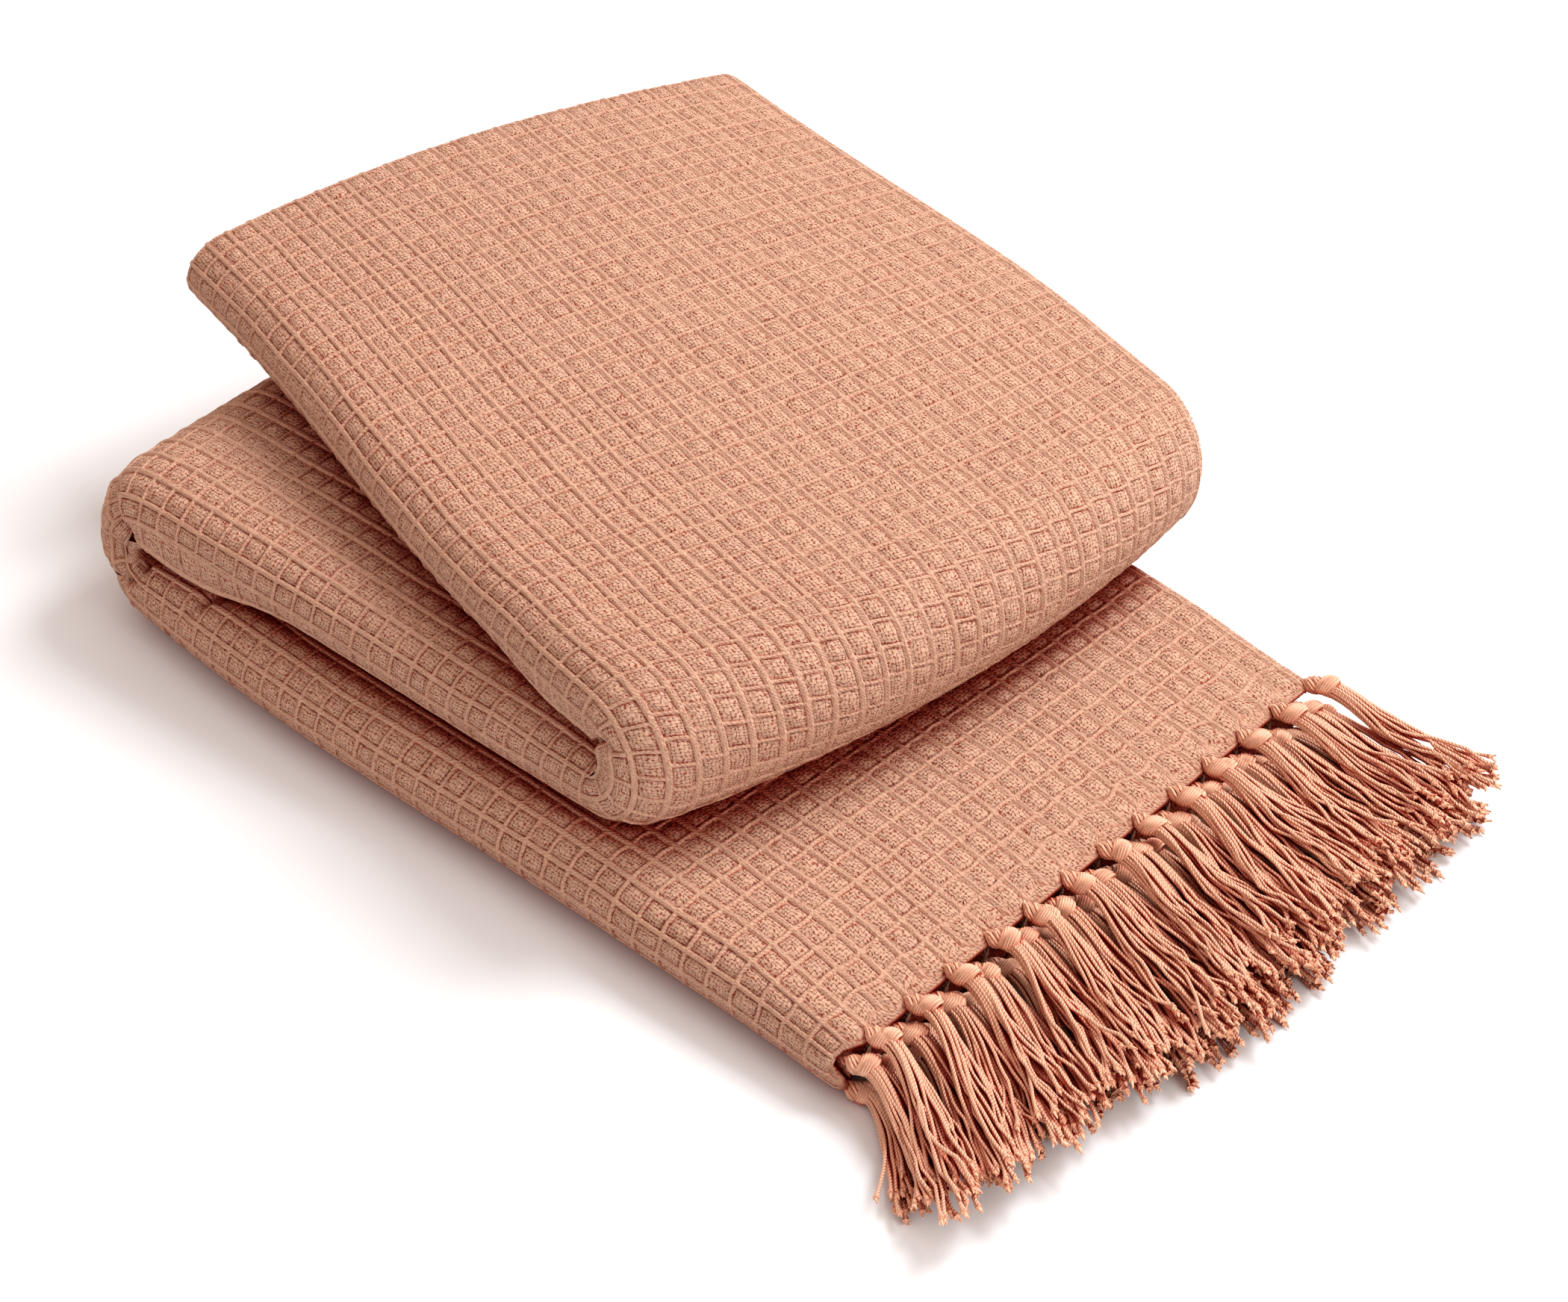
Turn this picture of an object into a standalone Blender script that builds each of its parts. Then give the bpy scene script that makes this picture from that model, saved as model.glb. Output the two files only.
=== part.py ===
"""A waffle weave cotton throw, folded as it lies on a shelf or a sofa.

The throw is folded in four along its length into a strip of four layers, and the strip is laid
back and forth in three: a bottom run with the fringe at its +X end, a round fold at the left,
a middle run, a round fold at the right, and a top run whose far end is turned in and closed.
+X runs along the strip towards the fringe, +Y across it, and the origin is the middle of the
bottom run's underside, which lies on z = 0.
"""

import math

import bmesh
import bpy
import numpy as np

# The cloth
CELL = 0.0122  # one square of the waffle
STRIP_CELLS = 26  # squares across the folded strip
STRIP_WIDTH = STRIP_CELLS * CELL
SHEET = 0.0050  # thickness of the waffle, from the ridges of one face to those of the other
GAP_PRESSED = 0.0026  # between layers at the fringed edge
GAP_LOFTY = 0.0060  # between layers where the strip is full

# How full the strip is: from the fringed edge along the strip, as a share of GAP_LOFTY
LOFT_AT = (0.00, 0.05, 0.12, 0.25, 0.40, 0.58, 0.82, 1.06, 1.18)
LOFT = (0.00, 0.60, 0.90, 1.00, 1.00, 0.92, 0.70, 0.62, 0.50)

# The strip's two round folds: the straight run before each, its radius at the strip's middle,
# the skew of its axis in degrees, the side that it turns to and how far its middle bulges
FOLDS = (
    {"run": 0.413, "radius": 0.0212, "skew": 1.8, "turn": +1, "bulge": 0.006},
    {"run": 0.297, "radius": 0.0190, "skew": 7.0, "turn": -1, "bulge": 0.022},
)
LAST_RUN = 0.353  # the top run, up to its closed end
BULGE_REACH = 0.13  # how far along the strip a fold's bulge fades out
MIDDLE_SINK = 0.0072  # the middle run comes down onto the bottom run by this
TOP_RISE = 0.0120  # the top run's end stands higher than its start by this
TOP_DROOP = 0.0060  # and its far corner hangs lower

# How the cloth has settled, each row fading out over its reach: where along the strip, and
# there how far its near edge runs on towards the fringe, how far it lies aside towards the far
# side, how much each edge spreads, and how high and how far its middle stands out at the end
SETTLED = (
    {"at": 0.000, "reach": 0.10, "slant": 0.010, "aside": 0.000, "spread": -0.005, "crown": 0.000},
    {"at": 0.320, "reach": 0.13, "slant": 0.000, "aside": -0.008, "spread": 0.000, "crown": 0.000},
    {"at": 0.810, "reach": 0.10, "slant": -0.007, "aside": 0.000, "spread": 0.000, "crown": 0.000},
    {"at": 0.950, "reach": 0.12, "slant": 0.000, "aside": 0.000, "spread": 0.008, "crown": 0.003},
    {"at": 1.180, "reach": 0.18, "slant": 0.000, "aside": -0.002, "spread": -0.006, "crown": 0.013},
)

# The layers' rounded edges
NOSE_STRETCH = 1.30  # the near edge is this much deeper than a half circle
SELVEDGE_SETBACK = 0.004  # the two selvedges lie this far inside the far fold
NOSE_STEPS = 8
INNER_STEPS = 4
LAYER_STEPS = 3
ROW_SPACING = 0.034  # between sections on a straight run
FOLD_SPACING = 0.0082  # and round a fold
END_WALL = 0.0060  # the cloth turned in across the closed end
END_OVERLAP = 0.0040
END_INSET = 0.0002

# The fringe
TASSELS = 13  # in a row, and a row for each layer
TASSEL_PITCH = 2 * CELL
LOCKS = 4
EDGE_GAP = 0.0003  # between the cloth's edge and the strip that the yarns leave
BACKING_DEPTH = 0.0022
BACKING_THICK = 0.0036
BACKING_INSET = (0.006, 0.003)  # from the strip's near edge and from its far edge
NECK_WIDTH = 0.0026
KNOT_AT = 0.0125
KNOT_LENGTH = 0.0120
KNOT_WIDTH = 0.0098
KNOT_SIDES = 5
KNOT_GIRTHS = ((-0.5, 0.62), (0.05, 1.0), (0.5, 0.66))  # along the knot, share of its width
LOCK_HEIGHT = 0.0035
# Each row: its knots' height, the height at which its locks lie, its sideways offset in
# pitches, and at its near end, middle and far end how far the locks run on beyond the knots
# and how far they drift aside over DRIFT_REACH
FRINGE = (
    {"knot": 0.0262, "lie": 0.0135, "shift": 0.25,
     "lengths": (0.070, 0.086, 0.077), "drifts": (-0.048, -0.020, 0.006)},
    {"knot": 0.0190, "lie": 0.0090, "shift": -0.25,
     "lengths": (0.060, 0.089, 0.079), "drifts": (-0.056, -0.024, 0.008)},
    {"knot": 0.0117, "lie": 0.0045, "shift": 0.25,
     "lengths": (0.050, 0.090, 0.082), "drifts": (-0.066, -0.020, 0.006)},
    {"knot": 0.0051, "lie": 0.0000, "shift": -0.25,
     "lengths": (0.048, 0.087, 0.080), "drifts": (-0.080, -0.028, 0.010)},
)
LOCK_WIDTHS = (0.0021, 0.0038, 0.0047, 0.0040)
LOCK_SPREAD = (0.0025, 0.0044, 0.0054, 0.0057)
LOCK_AT = (0.0, 0.020, 0.038)  # sections of every lock, before the one at its end
FALL_BY = 0.038  # the locks have come down by here
DRIFT_REACH = 0.100
DRIFT_BEND = 1.25  # the drift grows with this power of the distance
ALONG_ROW = (0.0, 0.5, 1.0)  # where a row's three lengths and drifts hold
LENGTH_SPREAD = 0.15
LIE_SPREAD = 0.06  # in a raised row every other lock lies this share higher
LOCK_START = 0.25  # a lock starts inside its knot, this share of its length past the middle
LOCK_END = 0.72  # its height at its two ends, as a share of that between

APRICOT = (0.62, 0.30, 0.18, 1.0)


def clear_scene():
    for thing in list(bpy.data.objects):
        bpy.data.objects.remove(thing, do_unlink=True)


def cloth_material(name, roughness):
    material = bpy.data.materials.new(name)
    material.use_nodes = True
    shader = material.node_tree.nodes["Principled BSDF"]
    shader.inputs["Base Color"].default_value = APRICOT
    shader.inputs["Roughness"].default_value = roughness
    shader.inputs["Metallic"].default_value = 0.0
    return material


def layer_gap(s):
    share = np.interp(s, LOFT_AT, LOFT)
    return GAP_PRESSED + (GAP_LOFTY - GAP_PRESSED) * share


def strip_height(s):
    return 4 * SHEET + 3 * layer_gap(s)


def fold_starts():
    """Where each fold starts along the strip's middle line, and where the last fold ends."""
    starts, at = [], 0.0
    for fold in FOLDS:
        at += fold["run"]
        starts.append(at)
        at += math.pi * fold["radius"]
    return starts, at


FOLD_START, TOP_START = fold_starts()
STRIP_LENGTH = TOP_START + LAST_RUN
FULL_HEIGHT = float(strip_height(FOLD_START[0]))


def smooth(value):
    t = np.clip(value, 0.0, 1.0)
    return t * t * (3 - 2 * t)


def fade(s, at, reach):
    return np.exp(-(((s - at) / reach) ** 2))


def settle(points, s, y):
    """Lowers the middle run onto the bottom one, lifts the top run's end and bulges the folds."""
    across = 2 * y / STRIP_WIDTH
    left_end = FOLD_START[0] + math.pi * FOLDS[0]["radius"]
    points[:, 2] -= MIDDLE_SINK * smooth((s - left_end) / FOLDS[1]["run"])
    top = smooth((s - TOP_START) / LAST_RUN)
    points[:, 2] += TOP_RISE * top - TOP_DROOP * top * smooth(0.5 + across / 2)
    for start, fold in zip(FOLD_START, FOLDS):
        faded = fade(s, start + math.pi * fold["radius"] / 2, BULGE_REACH)
        points[:, 0] -= fold["turn"] * fold["bulge"] * faded * (0.5 - across**2)
    for row in SETTLED:
        faded = fade(s, row["at"], row["reach"])
        points[:, 0] += faded * row["slant"] * (0.5 - across / 2)
        points[:, 1] += faded * (row["aside"] + row["spread"] * across)
        points[:, 2] += faded * row["crown"] * (1 - across**2)
    return points


def fold_up(s, y, n):
    """World points of the strip: s along it from the fringed edge, y across, n off its middle."""
    along, across, up = (np.array(v, float) for v in ((-1, 0, 0), (0, 1, 0), (0, 0, 1)))
    origin = np.array((FOLDS[0]["run"] / 2, 0.0, FULL_HEIGHT / 2))
    lift = n + strip_height(s) / 2 - FULL_HEIGHT / 2
    points = origin + np.outer(s, along) + np.outer(y, across) + np.outer(lift, up)
    reached = 0.0
    for start, fold in zip(FOLD_START, FOLDS):
        radius, turn = fold["radius"], fold["turn"]
        lean = math.radians(fold["skew"])
        ahead = math.cos(lean) * along - math.sin(lean) * across
        axis = math.sin(lean) * along + math.cos(lean) * across
        hinge = origin + (start - reached) * along
        past = math.cos(lean) * (s - start) - math.sin(lean) * y
        beside = math.sin(lean) * (s - start) + math.cos(lean) * y
        angle = np.clip(past / radius, 0, math.pi)
        beyond = np.maximum(past - math.pi * radius, 0)
        reach = radius - turn * n
        turned = (
            hinge
            + np.outer(beside, axis)
            + np.outer(reach * np.sin(angle) - beyond, ahead)
            + np.outer(turn * (radius - reach * np.cos(angle)), up)
        )
        points = np.where((past > 0)[:, None], turned, points)
        along = -math.cos(lean) * ahead + math.sin(lean) * axis
        across = math.sin(lean) * ahead + math.cos(lean) * axis
        reached = start + math.cos(lean) * math.pi * radius
        origin = hinge + 2 * turn * radius * up + math.sin(lean) * math.pi * radius * across
        up = -up
    return settle(points, s, y)


def arc(centre, reach_y, reach_n, first, last, steps):
    """Points of a half ellipse and their outward directions, ends included."""
    points = []
    for k in range(steps + 1):
        angle = math.radians(first + (last - first) * k / steps)
        place = (centre[0] + reach_y * math.cos(angle), centre[1] + reach_n * math.sin(angle))
        out = np.array((math.cos(angle) / reach_y, math.sin(angle) / reach_n))
        points.append((place, out / np.linalg.norm(out)))
    return points


def run(start, end, level, out):
    """Points strictly between two rounded edges, on one layer."""
    steps = [k / LAYER_STEPS for k in range(1, LAYER_STEPS)]
    return [((start + (end - start) * t, level), np.array((0.0, out))) for t in steps]


def section_line(s):
    """The middle line of the cloth across the strip, with the direction of its one face."""
    gap = float(layer_gap(s))
    half = (SHEET + gap) / 2
    depth = NOSE_STRETCH * 3 * half
    near = -STRIP_WIDTH / 2 + SHEET / 2 + depth
    far = STRIP_WIDTH / 2 - SHEET / 2 - half
    inner = near - depth + SHEET + gap + half
    edge = far + half - SELVEDGE_SETBACK
    line = [((edge, -3 * half), np.array((0.0, -1.0)))]
    line += run(edge, near, -3 * half, -1.0)
    line += arc((near, 0.0), depth, 3 * half, 270, 90, NOSE_STEPS)
    line += run(near, far, 3 * half, 1.0)
    line += arc((far, 2 * half), half, half, 90, -90, INNER_STEPS)
    line += run(far, inner, half, -1.0)
    fold = arc((inner, 0.0), half, half, 90, 270, INNER_STEPS)
    line += [(place, -out) for place, out in fold]
    line += run(inner, edge, -half, 1.0)
    line.append(((edge, -half), np.array((0.0, 1.0))))
    return line


def section_outline(s):
    """The cloth's closed outline across the strip: out along one face, back along the other."""
    line = section_line(s)
    one = [np.array(place) + SHEET / 2 * out for place, out in line]
    other = [np.array(place) - SHEET / 2 * out for place, out in reversed(line)]
    return np.array(one + other)


def outer_outline(s, inset):
    """The strip's own outline, with no gaps in it, drawn in by inset."""
    height = float(strip_height(s)) / 2 - inset
    depth = NOSE_STRETCH * 3 * (SHEET + float(layer_gap(s))) / 2 + SHEET / 2 - inset
    near = -STRIP_WIDTH / 2 + inset + depth
    far = STRIP_WIDTH / 2 - SELVEDGE_SETBACK - inset
    nose = [place for place, _ in arc((near, 0.0), depth, height, 90, 270, NOSE_STEPS + 1)]
    across = [near + (far - near) * k / (LAYER_STEPS + 1) for k in range(1, LAYER_STEPS + 2)]
    top = [(y, height) for y in reversed(across)]
    bottom = [(y, -height) for y in across]
    return np.array(top + nose + bottom)


def stations():
    """Places of the cloth's sections along the strip, close together round the folds."""
    places, at = [0.0], 0.0
    for start, fold in zip(FOLD_START, FOLDS):
        slant = math.sin(math.radians(fold["skew"])) * STRIP_WIDTH / 2
        first, last = start - slant, start + math.pi * fold["radius"] + slant
        count = max(1, round((first - at) / ROW_SPACING))
        places += [at + (first - at) * k / count for k in range(1, count + 1)]
        count = round((last - first) / FOLD_SPACING)
        places += [first + (last - first) * k / count for k in range(1, count + 1)]
        at = last
    end = STRIP_LENGTH - END_WALL
    count = round((end - at) / ROW_SPACING)
    return places + [at + (end - at) * k / count for k in range(1, count + 1)]


def loft(name, places, outlines):
    """A closed solid through one outline at each place along the strip."""
    mesh = bmesh.new()
    rings = []
    for s, outline in zip(places, outlines):
        world = fold_up(np.full(len(outline), s), outline[:, 0], outline[:, 1])
        rings.append([mesh.verts.new(point) for point in world])
    for first, second in zip(rings, rings[1:]):
        for k in range(len(first)):
            after = (k + 1) % len(first)
            mesh.faces.new((first[k], first[after], second[after], second[k]))
    for ring in (rings[0], rings[-1]):
        for k in range(len(ring) // 2 - 1):
            mesh.faces.new((ring[k], ring[k + 1], ring[-k - 2], ring[-k - 1]))
    bmesh.ops.triangulate(mesh, faces=mesh.faces)
    bmesh.ops.recalc_face_normals(mesh, faces=mesh.faces)
    return finish(name, mesh)


def finish(name, mesh):
    data = bpy.data.meshes.new(name)
    mesh.to_mesh(data)
    mesh.free()
    solid = bpy.data.objects.new(name, data)
    bpy.context.collection.objects.link(solid)
    return solid


def unite(base, tool, itself=False):
    """Joins tool to base and removes it."""
    joint = base.modifiers.new("join", "BOOLEAN")
    joint.operation = "UNION"
    joint.object = tool
    joint.solver = "EXACT"
    joint.use_self = itself
    graph = bpy.context.evaluated_depsgraph_get()
    joined = bpy.data.meshes.new_from_object(base.evaluated_get(graph))
    base.modifiers.clear()
    base.data = joined
    bpy.data.objects.remove(tool, do_unlink=True)


def make_blanket():
    places = stations()
    cloth = loft("blanket", places, [section_outline(s) for s in places])
    end = STRIP_LENGTH
    cuts = [end - END_WALL - END_OVERLAP, end - END_WALL, end - 0.35 * END_WALL, end]
    insets = [END_INSET, END_INSET, 0.16 * END_WALL, 0.75 * END_WALL]
    wall = loft("end_wall", cuts, [outer_outline(s, i) for s, i in zip(cuts, insets)])
    unite(cloth, wall)
    cloth.data.materials.clear()
    cloth.data.materials.append(cloth_material("waffle_cotton", 0.95))
    return cloth


def prism(mesh, rings):
    """A closed solid through rings of the same number of points."""
    loops = [[mesh.verts.new(point) for point in ring] for ring in rings]
    for first, second in zip(loops, loops[1:]):
        for k in range(len(first)):
            after = (k + 1) % len(first)
            mesh.faces.new((first[k], first[after], second[after], second[k]))
    mesh.faces.new(loops[0][::-1])
    mesh.faces.new(loops[-1])


def edge_point(y):
    """Where the middle of the cloth's fringed edge is, at y across the strip."""
    return fold_up(np.array([0.0]), np.array([y]), np.array([0.0]))[0]


def make_backing(level):
    """The narrow strip that one layer's yarns leave, just off the cloth's edge."""
    low, high = level - BACKING_THICK / 2, level + BACKING_THICK / 2
    rings = []
    for end in (-STRIP_WIDTH / 2 + BACKING_INSET[0], STRIP_WIDTH / 2 - BACKING_INSET[1]):
        x, y, _ = edge_point(end)
        inner = x + EDGE_GAP
        outer = inner + BACKING_DEPTH
        rings.append([(inner, y, low), (outer, y, low), (outer, y, high), (inner, y, high)])
    return rings


def neck_rings(edge_x, y, root, knot_z):
    """The gathered yarns between the backing and the knot, wide at the backing."""
    root_x = edge_x + EDGE_GAP + BACKING_DEPTH / 2
    knot_x = edge_x + KNOT_AT
    rings = []
    for x, z, width in ((root_x, root, 2 * NECK_WIDTH), (knot_x, knot_z, NECK_WIDTH)):
        low, high = z - NECK_WIDTH / 2, z + NECK_WIDTH / 2
        near, far = y - width / 2, y + width / 2
        rings.append([(x, near, low), (x, far, low), (x, far, high), (x, near, high)])
    return rings


def knot_rings(x, y, z):
    rings = []
    for share, girth in KNOT_GIRTHS:
        radius = KNOT_WIDTH / 2 * girth
        angles = [math.radians(90 + 360 * k / KNOT_SIDES) for k in range(KNOT_SIDES)]
        ring_x = x + KNOT_LENGTH * share
        rings.append([(ring_x, y + radius * math.cos(a), z + radius * math.sin(a)) for a in angles])
    return rings


def lock_rings(x, y, z, place, length, drift, lie):
    """One lock of yarn: it comes down from its knot, then lies level, flat side down."""
    rings = []
    for along, width, spread in zip((*LOCK_AT, length), LOCK_WIDTHS, LOCK_SPREAD):
        fall = float(smooth(along / FALL_BY))
        low = (z - LOCK_HEIGHT / 2) * (1 - fall) + lie * fall
        side = y + place * spread + drift * (along / DRIFT_REACH) ** DRIFT_BEND
        top = low + LOCK_HEIGHT * (1.0 if 0.0 < along < length else LOCK_END)
        near, far = side - width / 2, side + width / 2
        rings.append([(x + along, near, low), (x + along, far, low), (x + along, side, top)])
    return rings


def make_fringe_row(index, row):
    """A row of knotted tassels on its own narrow strip."""
    layer = 1.5 - index
    root = float(strip_height(0.0)) / 2 + layer * (SHEET + GAP_PRESSED)
    strip, yarns = bmesh.new(), bmesh.new()
    prism(strip, make_backing(root))
    for k in range(TASSELS):
        across = (k - (TASSELS - 1) / 2 + row["shift"]) * TASSEL_PITCH
        edge_x, y, _ = edge_point(across)
        knot_x = edge_x + KNOT_AT
        prism(yarns, neck_rings(edge_x, y, root, row["knot"]))
        prism(yarns, knot_rings(knot_x, y, row["knot"]))
        share = 0.5 + across / STRIP_WIDTH
        usual = float(np.interp(share, ALONG_ROW, row["lengths"]))
        drift = float(np.interp(share, ALONG_ROW, row["drifts"]))
        for lock in range(LOCKS):
            uneven = math.sin(7.1 * lock + 2.7 * k + 1.9 * index)
            length = usual * (1 + LENGTH_SPREAD * uneven)
            place = lock - (LOCKS - 1) / 2
            lie = row["lie"] * (1 + LIE_SPREAD * (lock % 2))
            start = knot_x + LOCK_START * KNOT_LENGTH
            prism(yarns, lock_rings(start, y, row["knot"], place, length, drift, lie))
    for mesh in (strip, yarns):
        bmesh.ops.recalc_face_normals(mesh, faces=mesh.faces)
    backing = finish(f"fringe_row_{index + 1}", strip)
    unite(backing, finish("tassels", yarns), itself=True)
    backing.data.materials.clear()
    backing.data.materials.append(cloth_material(f"fringe_yarn_{index + 1}", 0.9))


clear_scene()
make_blanket()
for number, fringe_row in enumerate(FRINGE):
    make_fringe_row(number, fringe_row)
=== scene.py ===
import math

import bpy
import numpy as np
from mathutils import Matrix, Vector


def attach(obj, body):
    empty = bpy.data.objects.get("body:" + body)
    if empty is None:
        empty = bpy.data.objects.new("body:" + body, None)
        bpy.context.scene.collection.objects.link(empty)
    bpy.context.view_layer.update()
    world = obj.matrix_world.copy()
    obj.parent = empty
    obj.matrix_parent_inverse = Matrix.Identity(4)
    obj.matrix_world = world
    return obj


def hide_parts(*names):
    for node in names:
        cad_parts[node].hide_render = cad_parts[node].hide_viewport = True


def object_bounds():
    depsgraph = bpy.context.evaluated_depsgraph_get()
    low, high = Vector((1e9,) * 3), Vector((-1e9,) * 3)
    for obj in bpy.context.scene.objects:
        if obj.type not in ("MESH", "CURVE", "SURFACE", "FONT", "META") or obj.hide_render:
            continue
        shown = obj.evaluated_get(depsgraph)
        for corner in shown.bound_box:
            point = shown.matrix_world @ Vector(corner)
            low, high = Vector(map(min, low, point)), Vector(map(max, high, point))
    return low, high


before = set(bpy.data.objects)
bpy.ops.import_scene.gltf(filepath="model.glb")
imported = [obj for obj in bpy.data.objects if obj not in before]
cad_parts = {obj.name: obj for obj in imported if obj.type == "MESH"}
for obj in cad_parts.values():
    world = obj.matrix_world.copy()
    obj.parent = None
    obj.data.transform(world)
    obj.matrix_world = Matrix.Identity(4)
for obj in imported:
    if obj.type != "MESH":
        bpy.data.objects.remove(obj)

cad_low, cad_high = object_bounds()


# -------------------- the folded cloth
# One piece of thick apricot cotton in a waffle weave, folded in four along its length into a strip
# that is laid back and forth in three. Its body is one thin closed sheet through all the layers, as
# far as the waffle's floor, and the next section weaves the waffle's outer face over it.

# s runs along the strip from the fringed edge, y across it and n off its middle
CELL = 0.0122  # one square of the waffle
STRIP_WIDTH = 26 * CELL
SHEET = 0.0050  # the waffle's thickness, from the ridges of one face to those of the other
GAP_PRESSED = 0.0026  # between layers at the fringed edge
GAP_LOFTY = 0.0060  # and where they stand loosest
LOFT_AT = (0.00, 0.05, 0.12, 0.25, 0.40, 0.58, 0.82, 1.06, 1.18)
LOFT = (0.00, 0.60, 0.90, 1.00, 1.00, 0.92, 0.70, 0.62, 0.50)
FOLDS = (
    {"run": 0.413, "radius": 0.0212, "skew": 1.8, "turn": +1, "bulge": 0.006},
    {"run": 0.297, "radius": 0.0190, "skew": 7.0, "turn": -1, "bulge": 0.022},
)
LAST_RUN = 0.353
BULGE_REACH = 0.13
MIDDLE_SINK = 0.0072  # the middle run lies this much lower at its end
PINCHED = 0.0008  # the inside of a fold closes up to this radius,
LOOPED = 0.0040  # stands open by this much in its bend,
EASED = 0.0015  # and nears both this softly, so no two faces meet
TOP_RISE = 0.0120
TOP_DROOP = 0.0060
SETTLED = (
    {"at": 0.000, "reach": 0.10, "slant": 0.010, "aside": 0.000, "spread": -0.005, "crown": 0.000},
    {"at": 0.320, "reach": 0.13, "slant": 0.000, "aside": -0.008, "spread": 0.000, "crown": 0.000},
    {"at": 0.810, "reach": 0.10, "slant": -0.007, "aside": 0.000, "spread": 0.000, "crown": 0.000},
    {"at": 0.950, "reach": 0.12, "slant": 0.000, "aside": 0.000, "spread": 0.008, "crown": 0.003},
    {"at": 1.180, "reach": 0.18, "slant": 0.000, "aside": -0.002, "spread": -0.006, "crown": 0.013},
)


def layer_gap(s):
    share = np.interp(s, LOFT_AT, LOFT)
    return GAP_PRESSED + (GAP_LOFTY - GAP_PRESSED) * share


def strip_height(s):
    return 4 * SHEET + 3 * layer_gap(s)


FOLD_START = (FOLDS[0]["run"], FOLDS[0]["run"] + math.pi * FOLDS[0]["radius"] + FOLDS[1]["run"])
TOP_START = FOLD_START[1] + math.pi * FOLDS[1]["radius"]
STRIP_LENGTH = TOP_START + LAST_RUN
FULL_HEIGHT = float(strip_height(FOLD_START[0]))


def smooth(value):
    t = np.clip(value, 0.0, 1.0)
    return t * t * (3 - 2 * t)


def fade(s, at, reach):
    return np.exp(-(((s - at) / reach) ** 2))


def settle(points, s, y):
    """Lowers the middle run onto the bottom one, lifts the top run's end and bulges the folds."""
    across = 2 * y / STRIP_WIDTH
    left_end = FOLD_START[0] + math.pi * FOLDS[0]["radius"]
    points[:, 2] -= MIDDLE_SINK * smooth((s - left_end) / FOLDS[1]["run"])
    top = smooth((s - TOP_START) / LAST_RUN)
    points[:, 2] += TOP_RISE * top - TOP_DROOP * top * smooth(0.5 + across / 2)
    for start, fold in zip(FOLD_START, FOLDS):
        faded = fade(s, start + math.pi * fold["radius"] / 2, BULGE_REACH)
        points[:, 0] -= fold["turn"] * fold["bulge"] * faded * (0.5 - across**2)
    for row in SETTLED:
        faded = fade(s, row["at"], row["reach"])
        points[:, 0] += faded * row["slant"] * (0.5 - across / 2)
        points[:, 1] += faded * (row["aside"] + row["spread"] * across)
        points[:, 2] += faded * row["crown"] * (1 - across**2)
    return points


def fold_up(s, y, n):
    """World points of the strip, bent round each of its folds in turn and then settled."""
    along, across, up = (np.array(v, float) for v in ((-1, 0, 0), (0, 1, 0), (0, 0, 1)))
    origin = np.array((FOLDS[0]["run"] / 2, 0.0, FULL_HEIGHT / 2))
    lift = n + strip_height(s) / 2 - FULL_HEIGHT / 2
    points = origin + np.outer(s, along) + np.outer(y, across) + np.outer(lift, up)
    reached = 0.0
    for start, fold in zip(FOLD_START, FOLDS):
        radius, turn = fold["radius"], fold["turn"]
        lean = math.radians(fold["skew"])
        ahead = math.cos(lean) * along - math.sin(lean) * across
        axis = math.sin(lean) * along + math.cos(lean) * across
        hinge = origin + (start - reached) * along
        past = math.cos(lean) * (s - start) - math.sin(lean) * y
        beside = math.sin(lean) * (s - start) + math.cos(lean) * y
        angle = np.clip(past / radius, 0, math.pi)
        beyond = np.maximum(past - math.pi * radius, 0)
        least = PINCHED + (LOOPED - PINCHED) * np.sin(angle) ** 2
        reach = least + EASED * np.logaddexp(0, (radius - turn * n - least) / EASED)
        turned = (
            hinge
            + np.outer(beside, axis)
            + np.outer(reach * np.sin(angle) - beyond, ahead)
            + np.outer(turn * (radius - reach * np.cos(angle)), up)
        )
        points = np.where((past > 0)[:, None], turned, points)
        along = -math.cos(lean) * ahead + math.sin(lean) * axis
        across = math.sin(lean) * ahead + math.cos(lean) * axis
        reached = start + math.cos(lean) * math.pi * radius
        origin = hinge + 2 * turn * radius * up + math.sin(lean) * math.pi * radius * across
        up = -up
    return settle(points, s, y)


# the four layers of the strip, which t follows in squares across the flat cloth
LAYER_CELLS = 23.3  # squares on each flat layer,
NOSE_CELLS = 5.4  # round the near edge
FAR_CELLS = 2.0  # and round each far fold
LAYER_EDGES = (26.0, 53.0, 79.0)  # where t passes from one layer to the next
NOSE_STRETCH = 1.30  # the near edge is this much deeper than a half circle
NOSE = 1  # which of the stretches is the near edge
SELVEDGE_SETBACK = 0.004


def stretches(s):
    """The cloth's stretches across the strip: each flat layer or round edge, with its squares."""
    half = (SHEET + layer_gap(s)) / 2
    depth = NOSE_STRETCH * 3 * half
    near = -STRIP_WIDTH / 2 + SHEET / 2 + depth
    far = STRIP_WIDTH / 2 - SHEET / 2 - half
    inner = near - depth + SHEET + layer_gap(s) + half
    edge = far + half - SELVEDGE_SETBACK
    return (
        ("flat", LAYER_CELLS, (edge, near, -3 * half, -1)),
        ("round", NOSE_CELLS, (near, 0 * half, depth, 3 * half, 270, 90, 1)),
        ("flat", LAYER_CELLS, (near, far, 3 * half, 1)),
        ("round", FAR_CELLS, (far, 2 * half, half, half, 90, -90, 1)),
        ("flat", LAYER_CELLS, (far, inner, half, -1)),
        ("round", FAR_CELLS, (inner, 0 * half, half, half, 90, 270, -1)),
        ("flat", LAYER_CELLS, (inner, edge, -half, 1)),
    )


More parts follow.
